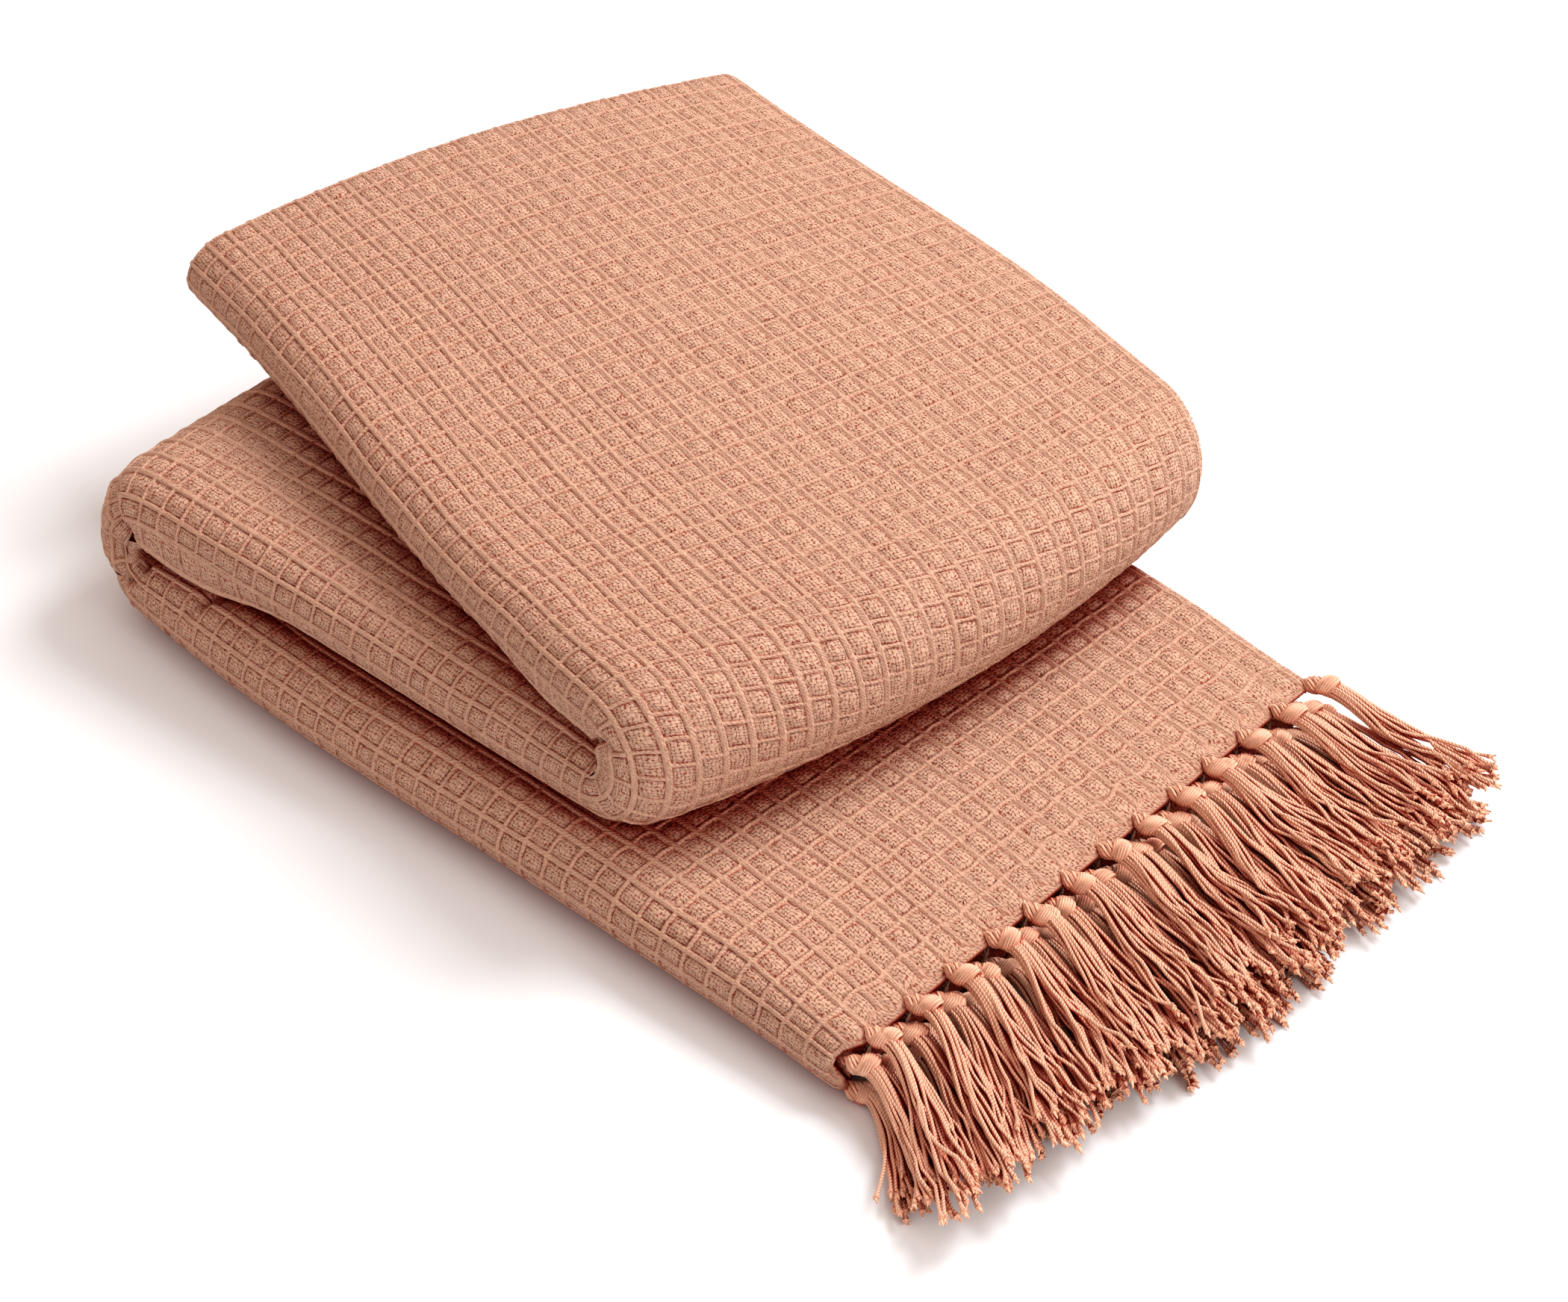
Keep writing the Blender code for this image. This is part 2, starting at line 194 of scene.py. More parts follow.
# what shows at the near ends of the folds: cloth tucked in, its lip sagging over, and creases
FILLED = (
    {"full": 0.80, "reach": 0.075, "past": 0.018, "sag": 0.0100, "lip": 0.062, "lip_reach": 0.034},
    {"full": 0.80, "reach": 0.055, "past": 0.000, "sag": 0.0050, "lip": 0.050, "lip_reach": 0.030},
)
FULLEST = 0.85
INSIDE_FROM = 0.15  # a fold's inside starts this share short of the strip's middle
FILL_RISE, SAG_RISE = 1.4, 2.4  # and its filling and sagging come on this fast
SAG_FROM, SAG_REACH = 0.010, 0.060  # off the near edge
CREASES = (
    {"from": (0.458, 23.6), "to": (0.462, 28.5), "wide": 0.0034, "deep": 0.0050, "grow": 2.0},
    {"from": (0.445, 24.8), "to": (0.432, 29.0), "wide": 0.0090, "deep": 0.0040, "grow": 1.6},
    {"from": (0.436, 23.6), "to": (0.404, 29.0), "wide": 0.0026, "deep": 0.0050, "grow": 2.4},
    {"from": (0.378, 26.8), "to": (0.356, 29.5), "wide": 0.0026, "deep": 0.0040, "grow": 2.0},
    {"from": (0.800, 26.2), "to": (0.812, 23.4), "wide": 0.0030, "deep": 0.0060, "grow": 2.0},
)
CREASE_START = 0.35  # how deep a crease already is where it starts


def filled(s, out_n):
    """How squarely the near edge fills the inside of each fold."""
    full = np.zeros_like(s)
    for start, fold, row in zip(FOLD_START, FOLDS, FILLED):
        inside = smooth(INSIDE_FROM + fold["turn"] * out_n * FILL_RISE)
        middle = start + math.pi * fold["radius"] / 2 + row["past"]
        full = full + row["full"] * inside * np.exp(-np.abs((s - middle) / row["reach"]) ** 3)
    return np.clip(full, 0, FULLEST)


def sagged(s, y, n):
    """How far the near edge sags toward the inside of each fold."""
    sag = np.zeros_like(s)
    near = 1 - smooth((y + STRIP_WIDTH / 2 - SAG_FROM) / SAG_REACH)
    for start, fold, row in zip(FOLD_START, FOLDS, FILLED):
        inside = smooth(INSIDE_FROM + fold["turn"] * n / FULL_HEIGHT * SAG_RISE)
        middle = start + math.pi * fold["radius"] / 2 + row["lip"]
        sag = sag + fold["turn"] * row["sag"] * inside * fade(s, middle, row["lip_reach"]) * near
    return sag


def creased(s, t):
    """How deep the creases at the near ends of the folds are pressed in."""
    deep = np.zeros_like(s)
    for row in CREASES:
        start, end = np.array(row["from"]), np.array(row["to"])
        line = (end - start) * (1.0, CELL)
        away = np.stack([s - start[0], (t - start[1]) * CELL], -1)
        share = np.clip(away @ line / (line @ line), 0, 1)
        distance = np.linalg.norm(away - share[:, None] * line, axis=1)
        grown = CREASE_START + (1 - CREASE_START) * smooth(share * row["grow"])
        deep += row["deep"] * fade(distance, 0, row["wide"]) * grown
    return deep


def across_strip(s, t, off):
    """Places y and n at s, and t squares across the flat cloth, off its middle by off."""
    y, n, begin = np.zeros_like(t), np.zeros_like(t), 0.0
    for k, (kind, cells, facts) in enumerate(stretches(s)):
        share = (t - begin) / cells
        here = (share >= 0) | (k == 0)
        if kind == "flat":
            start, end, level, out = facts
            y_here, n_here = start + (end - start) * share, level + out * off
        else:
            centre_y, centre_n, reach_y, reach_n, first, last, out = facts
            angle = np.radians(first + (last - first) * share)
            lean_y, lean_n = np.cos(angle) / reach_y, np.sin(angle) / reach_n
            size = np.hypot(lean_y, lean_n)
            out_y, out_n = np.cos(angle), np.sin(angle)
            if k == NOSE:
                out_y = -np.abs(out_y) ** (1 - filled(s, out_n))
            y_here = centre_y + reach_y * out_y + out * off * lean_y / size
            n_here = centre_n + reach_n * out_n + out * off * lean_n / size
        y, n = np.where(here, y_here, y), np.where(here, n_here, n)
        begin += cells
    return y, n


TASSEL_PITCH = 2 * CELL  # from one knot of a layer's fringed edge to the next
KNOT_SHIFT = (-0.25, 0.25, -0.25, 0.25)  # where each layer's knots lie, in pitches, in t's order
EDGE_DRAWN = 0.0065  # the edge is drawn out to its knots by this much,
EDGE_DRAWN_BY = 0.013  # and the cloth behind it over this length
END_ROUND = 0.012  # the far end of the top run is rounded off over this length
END_SQUARE = 2 / 3.2  # a lower value makes that end squarer
CORNER_ROUND = 0.012  # its corners are drawn in by this much
CORNER_REACH = 0.040  # over this width
LEAST_HEIGHT = 0.0002  # the underside lies flat, this far above the surface


def drawn_out(s, t, y):
    """How far the fringed edge of each layer is drawn out to its knots."""
    layer = np.searchsorted(LAYER_EDGES, t)
    from_knot = y / TASSEL_PITCH - np.array(KNOT_SHIFT)[layer]
    return EDGE_DRAWN * (0.5 + 0.5 * np.cos(2 * math.pi * from_knot)) * np.exp(-s / EDGE_DRAWN_BY)


def cloth_points(s, t, off, closing=None):
    """World points of the cloth; closing draws its layers together at the rounded end."""
    s, t, off = (np.ravel(a).astype(float) for a in np.broadcast_arrays(s, t, off))
    y, n = across_strip(s, t, off - creased(s, t))
    if closing is None:
        past = np.clip((s - STRIP_LENGTH) / END_ROUND + 1, 0, 1)
        closing = (1 - past ** (2 / END_SQUARE)) ** (END_SQUARE / 2)
    closing = np.ravel(closing)
    from_side = STRIP_WIDTH / 2 - np.abs(y)
    y = y - np.sign(y) * CORNER_ROUND * (1 - closing) * (1 - smooth(from_side / CORNER_REACH))
    points = fold_up(s, y, (n + sagged(s, y, n)) * closing)
    points[:, 0] += drawn_out(s, t, y)
    points[:, 2] = np.maximum(points[:, 2], LEAST_HEIGHT)
    return points


def grid_quads(rows, columns, closed=False):
    """Quads of a grid of points, row by row."""
    row = np.arange(rows - 1)[:, None] * columns
    column = np.arange(columns if closed else columns - 1)[None, :]
    after = (column + 1) % columns
    corners = (row + column, row + after, row + columns + after, row + columns + column)
    return np.stack(corners, -1).reshape(-1, 4)


def make_mesh(name, points, quads, squares, height=None):
    """A smooth mesh of quads with its place in the weave, in squares, as its UV map."""
    mesh = bpy.data.meshes.new(name)
    mesh.from_pydata(points, [], quads)
    mesh.shade_smooth()
    weave = mesh.uv_layers.new(name="weave")
    corners = squares[quads.ravel()] if squares.ndim == 2 else squares
    weave.uv.foreach_set("vector", corners.astype(np.float32).ravel())
    if height is not None:
        relief = mesh.attributes.new("relief", "FLOAT", "POINT")
        relief.data.foreach_set("value", np.ravel(height).astype(np.float32))
    piece = bpy.data.objects.new(name, mesh)
    bpy.context.collection.objects.link(piece)
    return piece


FLOOR_DEPTH = 0.0025  # from the ridges down to the body
BODY_SPACING = 0.0080
BODY_STEPS = {"flat": 6, "round": 10}
BODY_RELIEF = 0.60  # the body is shaded as the pockets are


def make_body():
    t, begin = [0.0], 0.0
    for kind, cells, _ in stretches(np.zeros(1)):
        steps = BODY_STEPS[kind]
        t += [begin + cells * (k + 1) / steps for k in range(steps)]
        begin += cells
    t = np.array(t)
    ring_t = np.concatenate([t, t[::-1]])
    face = SHEET / 2 - FLOOR_DEPTH
    ring_off = np.concatenate([np.full(len(t), face), np.full(len(t), -SHEET / 2)])
    places = np.linspace(0.0, STRIP_LENGTH, round(STRIP_LENGTH / BODY_SPACING))
    points = cloth_points(places[:, None], ring_t[None, :], ring_off[None, :])
    quads = grid_quads(len(places), len(ring_t), closed=True)
    across = np.arange(len(t) - 1)
    for base in (0, (len(places) - 1) * len(ring_t)):
        end = len(ring_t) - 1 + base
        caps = np.stack([across + base, end - across, end - across - 1, across + base + 1], -1)
        quads = np.concatenate([quads, caps if base == 0 else caps[:, ::-1]])
    squares = np.stack(np.broadcast_arrays(ring_t[None, :], places[:, None] / CELL), -1)
    height = np.full(len(points), BODY_RELIEF)
    return make_mesh("cloth_body", points, quads, squares.reshape(-1, 2), height)


APRICOT_LIGHT = (0.66, 0.470, 0.366, 1.0)
APRICOT_SHADE = (0.42, 0.035, 0.012, 1.0)  # colour of painted shade, where light has been from yarn to yarn many times, and of the darker mottle
COTTON_ROUGHNESS = 0.92
COTTON_SPECULAR = 0.05
YARNS = 7.2  # yarns of the pockets' plain weave in a square, each way
STRAYS = (  # how far they stray, in squares
    {"scale": 2.1, "detail": 3.0, "by": 0.26},
    {"scale": 6.5, "detail": 1.0, "by": 0.11},
)
WARP_GAP, WEFT_GAP = 2.5, 1.5  # a higher power makes a yarn wider and the gap beside it narrower
SLIT_SCALE, SLIT_UNEVEN = 5.5, 1.5  # some slits are wide and some closed
SLIT_OPENS = (0.30, 0.62)
# how far the slits dent the bump, and how strong the painted shade in them is
SLIT_DENT, SLIT_SHADE = 1.2, 0.60
RIDGE_ENDS, FLOAT_ENDS = (0.095, 0.125), (0.045, 0.070)  # squares from the middle of each
PLY = {"scale": 3.8, "stray": 2.0, "detail": 1.5, "high": 0.6}  # the twist of the thick yarns
STRANDS_HIGH = 0.5
FUZZ_SCALE, FUZZ_DETAIL, FUZZ_HIGH, FUZZ_TINT = 20.0, 3.0, 0.5, -0.45
WEAVE_BUMP, WEAVE_DEPTH = 0.8, 0.0007  # strength, and metres
RELIEF_SHADE = (0.05, 0.50, 0.90)  # painted shade in the grooves: full below one height, none above the other, and how strong
SKY_REACH = 0.022  # how near the cloth that takes the light away lies
SKY_SHADE = (0.14, 0.68, 1.0)  # the same for painted shade inside the folds, by the share of open sky
DULL, ROPE_SHADE, CROWN_SHADE = 0.20, (-0.24, 0.24), (-0.18, 0.20)  # an even share of the deep colour, and painted shade that is less on top of the yarns


def new_material(name):
    material = bpy.data.materials.new(name)
    material.use_nodes = True
    return material, material.node_tree


def node(tree, kind, **values):
    """A shader node with its settings, then its inputs by number (in0, in1), as values or links."""
    made = tree.nodes.new("ShaderNode" + kind)
    inputs = {key: value for key, value in values.items() if key[2:].isdigit()}
    for key, value in values.items():
        if key not in inputs:
            setattr(made, key, value)
    for key, value in inputs.items():
        socket = made.inputs[int(key[2:])]
        if isinstance(value, bpy.types.NodeSocket):
            tree.links.new(value, socket)
        else:
            socket.default_value = value
    return made


def reckon(tree, operation, first, second=0.0, third=0.0, clamp=False):
    """One step of arithmetic on sockets or numbers."""
    made = node(tree, "Math", operation=operation, use_clamp=clamp,
                in0=first, in1=second, in2=third)
    return made.outputs[0]


def ramp(tree, value, start, end, at_start=0.0, at_end=1.0, kind="LINEAR"):
    """Goes from at_start to at_end as the value goes from start to end."""
    made = node(tree, "MapRange", interpolation_type=kind, in0=value, in1=start, in2=end,
                in3=at_start, in4=at_end)
    return made.outputs[0]


def between(tree, share, first, second):
    """A mix of two values, by share."""
    return node(tree, "Mix", data_type="FLOAT", in0=share, in2=first, in3=second).outputs[0]


def less(tree, share):
    """What a share leaves of the whole."""
    return reckon(tree, "SUBTRACT", 1.0, share)


def noise(tree, place, scale, detail):
    return node(tree, "TexNoise", noise_dimensions="2D", in0=place, in2=scale, in3=detail)


def add_plain_weave(tree, weave):
    """The crowns of a plain weave, its slits, and the gaps beside its warp and its weft yarns."""
    strayed = weave
    for row in STRAYS:
        aside = noise(tree, weave, row["scale"], row["detail"]).outputs["Color"]
        strayed = node(tree, "VectorMath", operation="MULTIPLY_ADD", in0=aside,
                       in1=(row["by"], row["by"], 0.0), in2=strayed).outputs[0]
    place = node(tree, "SeparateXYZ", in0=strayed)
    yarns, gaps = [], []
    for axis, power in enumerate((WARP_GAP, WEFT_GAP)):
        yarns.append(reckon(tree, "MULTIPLY", place.outputs[axis], YARNS))
        off_yarn = reckon(tree, "MULTIPLY", reckon(tree, "PINGPONG", yarns[axis], 0.5), 2.0)
        gaps.append(reckon(tree, "POWER", off_yarn, power))
    # the slits lie where neither yarn is on top
    width = reckon(tree, "SUBTRACT", noise(tree, weave, SLIT_SCALE, 1.0).outputs[0], 0.5)
    slit = reckon(tree, "MULTIPLY_ADD", width, SLIT_UNEVEN, reckon(tree, "MULTIPLY", *gaps))
    hole = ramp(tree, slit, *SLIT_OPENS, kind="SMOOTHSTEP")
    halfway = node(tree, "CombineXYZ", in0=reckon(tree, "ADD", yarns[0], 0.5),
                   in1=reckon(tree, "ADD", yarns[1], 0.5)).outputs[0]
    weft_over = node(tree, "TexChecker", in0=halfway, in3=1.0).outputs[1]
    crowns = between(tree, weft_over, less(tree, gaps[0]), less(tree, gaps[1]))
    return crowns, hole, gaps


def add_thick_yarns(tree, weave, gaps):
    """Where the pockets lie, and the plied yarns of the ridges and floats between them."""
    place = node(tree, "SeparateXYZ", in0=weave)
    on_yarn = []
    for axis, ends in enumerate((RIDGE_ENDS, FLOAT_ENDS)):
        from_yarn = reckon(tree, "PINGPONG", place.outputs[axis], 0.5)
        on_yarn.append(ramp(tree, from_yarn, *ends, at_start=1.0, at_end=0.0, kind="SMOOTHSTEP"))
    pocket = reckon(tree, "MULTIPLY", less(tree, on_yarn[0]), less(tree, on_yarn[1]))
    ply = node(tree, "TexWave", wave_type="BANDS", bands_direction="DIAGONAL", in0=weave,
               in1=PLY["scale"], in2=PLY["stray"], in3=PLY["detail"]).outputs[1]
    strands = between(tree, on_yarn[0], less(tree, gaps[1]), less(tree, gaps[0]))
    strands = reckon(tree, "MULTIPLY", strands, STRANDS_HIGH)
    return pocket, reckon(tree, "MULTIPLY_ADD", ply, PLY["high"], strands)


def finish_cotton(tree, base_colour, roughness, bump):
    """Sets a matt cotton's colour, roughness and bump."""
    shader = tree.nodes["Principled BSDF"]
    tree.links.new(base_colour.outputs[2], shader.inputs["Base Color"])
    tree.links.new(bump.outputs[0], shader.inputs["Normal"])
    shader.inputs["Roughness"].default_value = roughness
    shader.inputs["Specular IOR Level"].default_value = COTTON_SPECULAR


def make_waffle_cotton():
    """Cotton with painted shade: it reddens where light is lost, in slits, beside the ridges, inside
    the folds and on the low parts of its yarns.
    """
    material, tree = new_material("waffle_cotton")
    weave = node(tree, "UVMap", uv_map="weave").outputs[0]
    crowns, hole, gaps = add_plain_weave(tree, weave)
    pocket, rope = add_thick_yarns(tree, weave, gaps)
    fuzz = noise(tree, weave, FUZZ_SCALE, FUZZ_DETAIL).outputs[0]
    dented = reckon(tree, "SUBTRACT", crowns, reckon(tree, "MULTIPLY", hole, SLIT_DENT))
    rough = reckon(tree, "MULTIPLY_ADD", fuzz, FUZZ_HIGH, between(tree, pocket, rope, dented))
    bump = node(tree, "Bump", in0=WEAVE_BUMP, in1=WEAVE_DEPTH, in3=rough)
    relief = node(tree, "Attribute", attribute_name="relief").outputs["Fac"]
    # painted shade in the grooves beside ridges and floats, taken from the relief's height
    deep = ramp(tree, relief, *RELIEF_SHADE, 0.0)
    # painted shade in the plain weave's slits
    painted_slit_shade = reckon(tree, "MULTIPLY", reckon(tree, "MULTIPLY", hole, pocket), SLIT_SHADE)
    # painted shade where other cloth closes in, by ambient occlusion
    open_sky = node(tree, "AmbientOcclusion", samples=4, in1=SKY_REACH).outputs["AO"]
    painted_occlusion_shade = ramp(tree, open_sky, *SKY_SHADE, 0.0)
    shade = reckon(tree, "MAXIMUM", reckon(tree, "MAXIMUM", deep, painted_slit_shade), painted_occlusion_shade)
    # painted shade on the low parts of the ropes and of the pockets' yarns
    low = reckon(tree, "MULTIPLY_ADD", rope, *ROPE_SHADE)
    sunk = reckon(tree, "MULTIPLY_ADD", crowns, *CROWN_SHADE)
    tone_and_painted_shade = reckon(tree, "ADD", reckon(tree, "ADD", shade, between(tree, pocket, low, sunk)), DULL)
    # random mottle and painted shade together
    mottle_and_painted_shade = reckon(tree, "MULTIPLY_ADD", fuzz, FUZZ_TINT, tone_and_painted_shade, clamp=True)
    # the cotton's colour, mixed towards the colour of painted shade
    tint = node(tree, "Mix", data_type="RGBA", in0=mottle_and_painted_shade, in6=APRICOT_LIGHT,
                in7=APRICOT_SHADE)
    finish_cotton(tree, tint, COTTON_ROUGHNESS, bump)
    return material


waffle_cotton = make_waffle_cotton()
cloth = make_body()
cloth.data.materials.append(waffle_cotton)
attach(cloth, "root")
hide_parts("blanket")


# -------------------- the waffle's outer face
# The raised squares that show all round the folded strip, woven in one with the cloth: ridges of
# warp yarns run along it without a break, weft floats cross between them, and each pocket is a small
# plain weave. Each row of squares has its own true length, so they keep their size round the folds.
RELIEF = 0.0021  # ridge tops above the grooves
EDGE_ROUND = 0.0035  # the face turns down to the fringed edge over this length
FACES = (  # each face's rows of squares, from under the far edge round the near one to the top
    {"name": "waffle_under_far", "rows": range(0, 12), "shows": "under"},
    {"name": "waffle_under_near", "rows": range(12, 23), "shows": "under"},
    {"name": "waffle_near_edge", "rows": range(23, 29), "shows": "edge"},
    {"name": "waffle_top_near", "rows": range(29, 41), "shows": "top"},
    {"name": "waffle_top_far", "rows": range(41, 52), "shows": "top"},
    {"name": "waffle_far_edge", "rows": range(52, 55), "shows": "edge"},
)
SHOWS = {  # where along the strip each one shows, and is woven finely
    "under": ((0.38, 0.68),),
    "edge": ((0.0, STRIP_LENGTH),),
    "top": ((0.00, 0.27), (0.74, 1.20)),
}
SPARE_ROWS = (range(35, 55), range(0, 16))  # the rows furthest from the near edge have fewer lines
# lines across and along a square, in shares of it: close together at the ridges, floats and grooves
FINE = {
    "across": (-0.015, 0.050, 0.088, 0.120, 0.18, 0.5, 0.82, 0.880, 0.912, 0.950, 1.015),
    "along": (0.0, 0.026, 0.050, 0.078, 0.15, 0.5, 0.85, 0.922, 0.950, 0.974),
}
SPARE = {
    "across": (-0.015, 0.075, 0.120, 0.18, 0.5, 0.82, 0.880, 0.925, 1.015),
    "along": (0.0, 0.038, 0.078, 0.15, 0.5, 0.85, 0.922, 0.962),
}
PLAIN = {"across": (-0.015, 0.10, 0.5, 0.90, 1.015), "along": (0.0, 0.10, 0.90)}

# heights run from 0 in the grooves to 1 on the ridges, and places are in squares
RIDGE = {"half": 0.115, "foot": 0.60, "high": 0.34, "uneven": 0.06, "flatness": 0.7}
FLOAT = {"half": 0.056, "foot": 0.55, "ends": 0.80, "bow": 0.18, "uneven": 0.12}
RIDGE_FOOT = 0.08  # where a float leaves the ridge
FLOAT_PARTS, PART_WIDTH = 0.10, 0.012  # the two yarns of a float part this deep
POCKET = {"high": 0.54, "flush": 0.16, "middle": 0.12, "uneven": 0.08}
NEAR_ROW = 26.0  # the middle of the near edge, where the pockets stand open,
OPEN_ROWS, FLUSH_BY = 3.5, 7.0  # and how many rows it takes until they lie flush
GROOVE = 0.08  # height in the deepest of the slits beside ridges and floats
BY_RIDGE = {"at": 0.125, "wide": 0.028, "all_along": 0.40, "corner": 0.55}
BY_FLOAT = {"at": 0.078, "wide": 0.026, "deep": 0.70}
CORNER_AT, CORNER_WIDE = 0.22, 0.15  # the slit beside a ridge is deepest this far from a float
OPEN_UNEVEN = 0.5
WANDER, WANDER_SCALE = 0.07, 0.4  # how far the ridges wander,
BOW = 0.07  # and the floats bow
SPREAD, SPREAD_TO, SPREAD_OVER = 0.5, 0.40, 0.25  # its yarns part where they meet a ridge
PINCH_REACH = 0.030  # the relief is pressed flat this near the inside of a fold,
PINCH_HEIGHT = 0.6  # to this height
PINCH_FROM, PINCH_STRENGTH = 0.25, 1.6
ROW_PLACES, END_PLACES = 2400, 120  # where a row's length is measured
ROW_END = 0.02  # this far from its ends a row of squares is straight
LATTICE = 160  # squares of unevenness before it repeats
SLITS, FLOATS, PILLOWS, RIDGES, BOWS, YARN_TOPS = range(6)  # the kinds of unevenness
rng = np.random.default_rng(26)
uneven = rng.uniform(-1.0, 1.0, (6, LATTICE, LATTICE))


def uneven_at(kind, p, q):
    """Smooth unevenness from -1 to 1 of one kind at any place in the weave."""
    p, q = np.broadcast_arrays(np.maximum(p, 0), np.maximum(q, 0))
    i, j = np.floor(p).astype(int), np.floor(q).astype(int)
    a, b = smooth(p - i), smooth(q - j)
    table = uneven[kind]
    i_next, j_next, i, j = ((n % LATTICE) for n in (i + 1, j + 1, i, j))
    near = table[i, j] * (1 - b) + table[i, j_next] * b
    far = table[i_next, j] * (1 - b) + table[i_next, j_next] * b
    return near * (1 - a) + far * a


def rounded(distance, half_width):
    return np.sqrt(np.clip(1 - (distance / half_width) ** 2, 0, 1))


def waffle_height(row, a, q):
    """How high the weave stands in a row of squares, from 0 in its grooves to 1 on its ridges."""
    from_ridge, from_float, number = np.minimum(a, 1 - a), np.abs(q - np.round(q)), np.round(q)
    middle = np.sin(np.clip((from_ridge - RIDGE_FOOT) / (0.5 - RIDGE_FOOT), 0, 1) * math.pi / 2)
    on_ridge = rounded(np.abs(from_ridge), RIDGE["half"]) ** RIDGE["flatness"]
    ridge = RIDGE["foot"] + RIDGE["high"] * on_ridge
    ridge = (ridge + RIDGE["uneven"] * uneven_at(YARN_TOPS, row + a, 3 * q)) * (on_ridge > 0)
    on_float = rounded(from_float, FLOAT["half"])
    bow = (FLOAT["bow"] + FLOAT["uneven"] * uneven_at(FLOATS, row, number)) * middle**0.5
    parted = 1 - FLOAT_PARTS * fade(from_float, 0, PART_WIDTH)
    crown = (FLOAT["foot"] + (1 - FLOAT["foot"]) * on_float) * (on_float > 0)
    floats = (FLOAT["ends"] + bow) * parted * crown
    flush = smooth((abs(row + 0.5 - NEAR_ROW) - OPEN_ROWS) / FLUSH_BY)
    pillow = POCKET["high"] + POCKET["flush"] * flush + POCKET["middle"] * middle
    pillow = pillow + POCKET["uneven"] * uneven_at(PILLOWS, row, q)
    open_here = 1 + OPEN_UNEVEN * uneven_at(SLITS, row, np.floor(q))
    corner = fade(from_float, CORNER_AT, CORNER_WIDE) * open_here
    slit = BY_RIDGE["all_along"] + BY_RIDGE["corner"] * corner
    slit = slit * fade(from_ridge, BY_RIDGE["at"], BY_RIDGE["wide"])
    slit += BY_FLOAT["deep"] * middle * open_here * fade(from_float, BY_FLOAT["at"], BY_FLOAT["wide"])
    pocket = pillow + (GROOVE - pillow) * np.clip(slit, 0, 1)
    return np.clip(np.maximum(np.maximum(ridge, floats), pocket), 0, 1)


def squares_along(row, s):
    """How many squares lie before s in a row of squares, at its true length."""
    middle = np.array([row + 0.5])
    y, n = across_strip(np.array([0.5]), middle, SHEET / 2)
    count = s / CELL
    for start, fold in zip(FOLD_START, FOLDS):
        lean = math.radians(fold["skew"])
        past = math.cos(lean) * (s - start) - math.sin(lean) * y[0]
        turned = np.clip(past / (math.pi * fold["radius"]), 0, 1)
        inward = min(fold["turn"] * n[0], fold["radius"] - LOOPED)
        count = count - np.round(math.pi * inward / CELL) * turned
    return count


def lines_in(row, fine):
    """The lines across and along a square of this row."""
    if not fine:
        return PLAIN
    return SPARE if any(row in rows for rows in SPARE_ROWS) else FINE


def row_table(row):
    """Squares counted along a row, by s, over the rounded end too, and how far that closes."""
    turn = np.linspace(0, math.pi / 2, END_PLACES)[1:]
    body_end = STRIP_LENGTH - END_ROUND
    rounding = body_end + END_ROUND * np.sin(turn) ** END_SQUARE
    s = np.concatenate([np.linspace(0.0, body_end, ROW_PLACES), rounding])
    closing = np.concatenate([np.ones(ROW_PLACES), np.cos(turn) ** END_SQUARE])
    _, high = across_strip(np.array([0.9]), np.array([row + 0.5]), SHEET / 2)
    forward, down = np.diff(s), high[0] * np.diff(closing)
    wall = np.concatenate([[0.0], np.cumsum(np.hypot(forward, down) - forward)]) / CELL
    return squares_along(row, s) + wall, s, closing


def row_lines(row, shows, table):
    """Stretches of a row of squares, each with its lines along and whether it is finely made."""
    count, s, _ = table
    last = count[-1]
    found = []
    for j in range(math.floor(last) + 1):
        at = np.interp(j, count, s)
        fine = any(low <= at <= high for low, high in shows)
        places = [j + f for f in lines_in(row, fine)["along"] if j + f < last]
        if found and found[-1][1] == fine:
            found[-1][0].extend(places)
        else:
            if found:
                found[-1][0].append(float(j))
            found.append([places, fine])
    found[-1][0].append(last)
    return [(np.array(places), fine) for places, fine in found]


def pinched(s, n):
    """How far the inside of the folds presses the relief flat."""
    pinch = np.zeros_like(n)
    for start, fold in zip(FOLD_START, FOLDS):
        inside = smooth(fold["turn"] * n / FULL_HEIGHT / PINCH_FROM - 1)
        pinch = pinch + inside * fade(s, start + math.pi * fold["radius"] / 2, PINCH_REACH)
    return np.clip(pinch * PINCH_STRENGTH, 0, 1)


def face_patch(row, a, q, table):
    """Points of one stretch of a row, a across it from one ridge to the next."""
    off = q - np.round(q)
    by_ridge = (2 * np.abs(a - 0.5)) ** 2 * np.clip((SPREAD_TO - np.abs(off)) / SPREAD_OVER, 0, 1)
    bow = BOW * uneven_at(BOWS, row, np.round(q)) * np.sin(math.pi * a) * (0.5 - np.abs(off)) * 2
    count, s_table, closing_table = table
    inner = np.clip(q, ROW_END, count[-1] - ROW_END) == q
    placed = np.where(inner, np.round(q) + off * (1 + SPREAD * by_ridge) + bow, q)
    s = np.clip(np.interp(placed, count, s_table), 0, STRIP_LENGTH)
    closing = np.interp(placed, count, closing_table)
    wander = [WANDER * uneven_at(RIDGES, row + k, s / CELL * WANDER_SCALE) for k in (0, 1)]
    t = row + a + wander[0] * (1 - a) + wander[1] * a
    _, n = across_strip(s.ravel(), t.ravel(), SHEET / 2)
    pinch = pinched(s.ravel(), n).reshape(a.shape)
    height = waffle_height(row, a, q) * (1 - pinch) + PINCH_HEIGHT * pinch
    off = SHEET / 2 - RELIEF * (1 - height)
    rolled = rounded(np.clip(s / EDGE_ROUND, 0, 1) - 1, 1.0)
    return cloth_points(s, t, (off + SHEET / 4) * rolled - SHEET / 4, closing), height


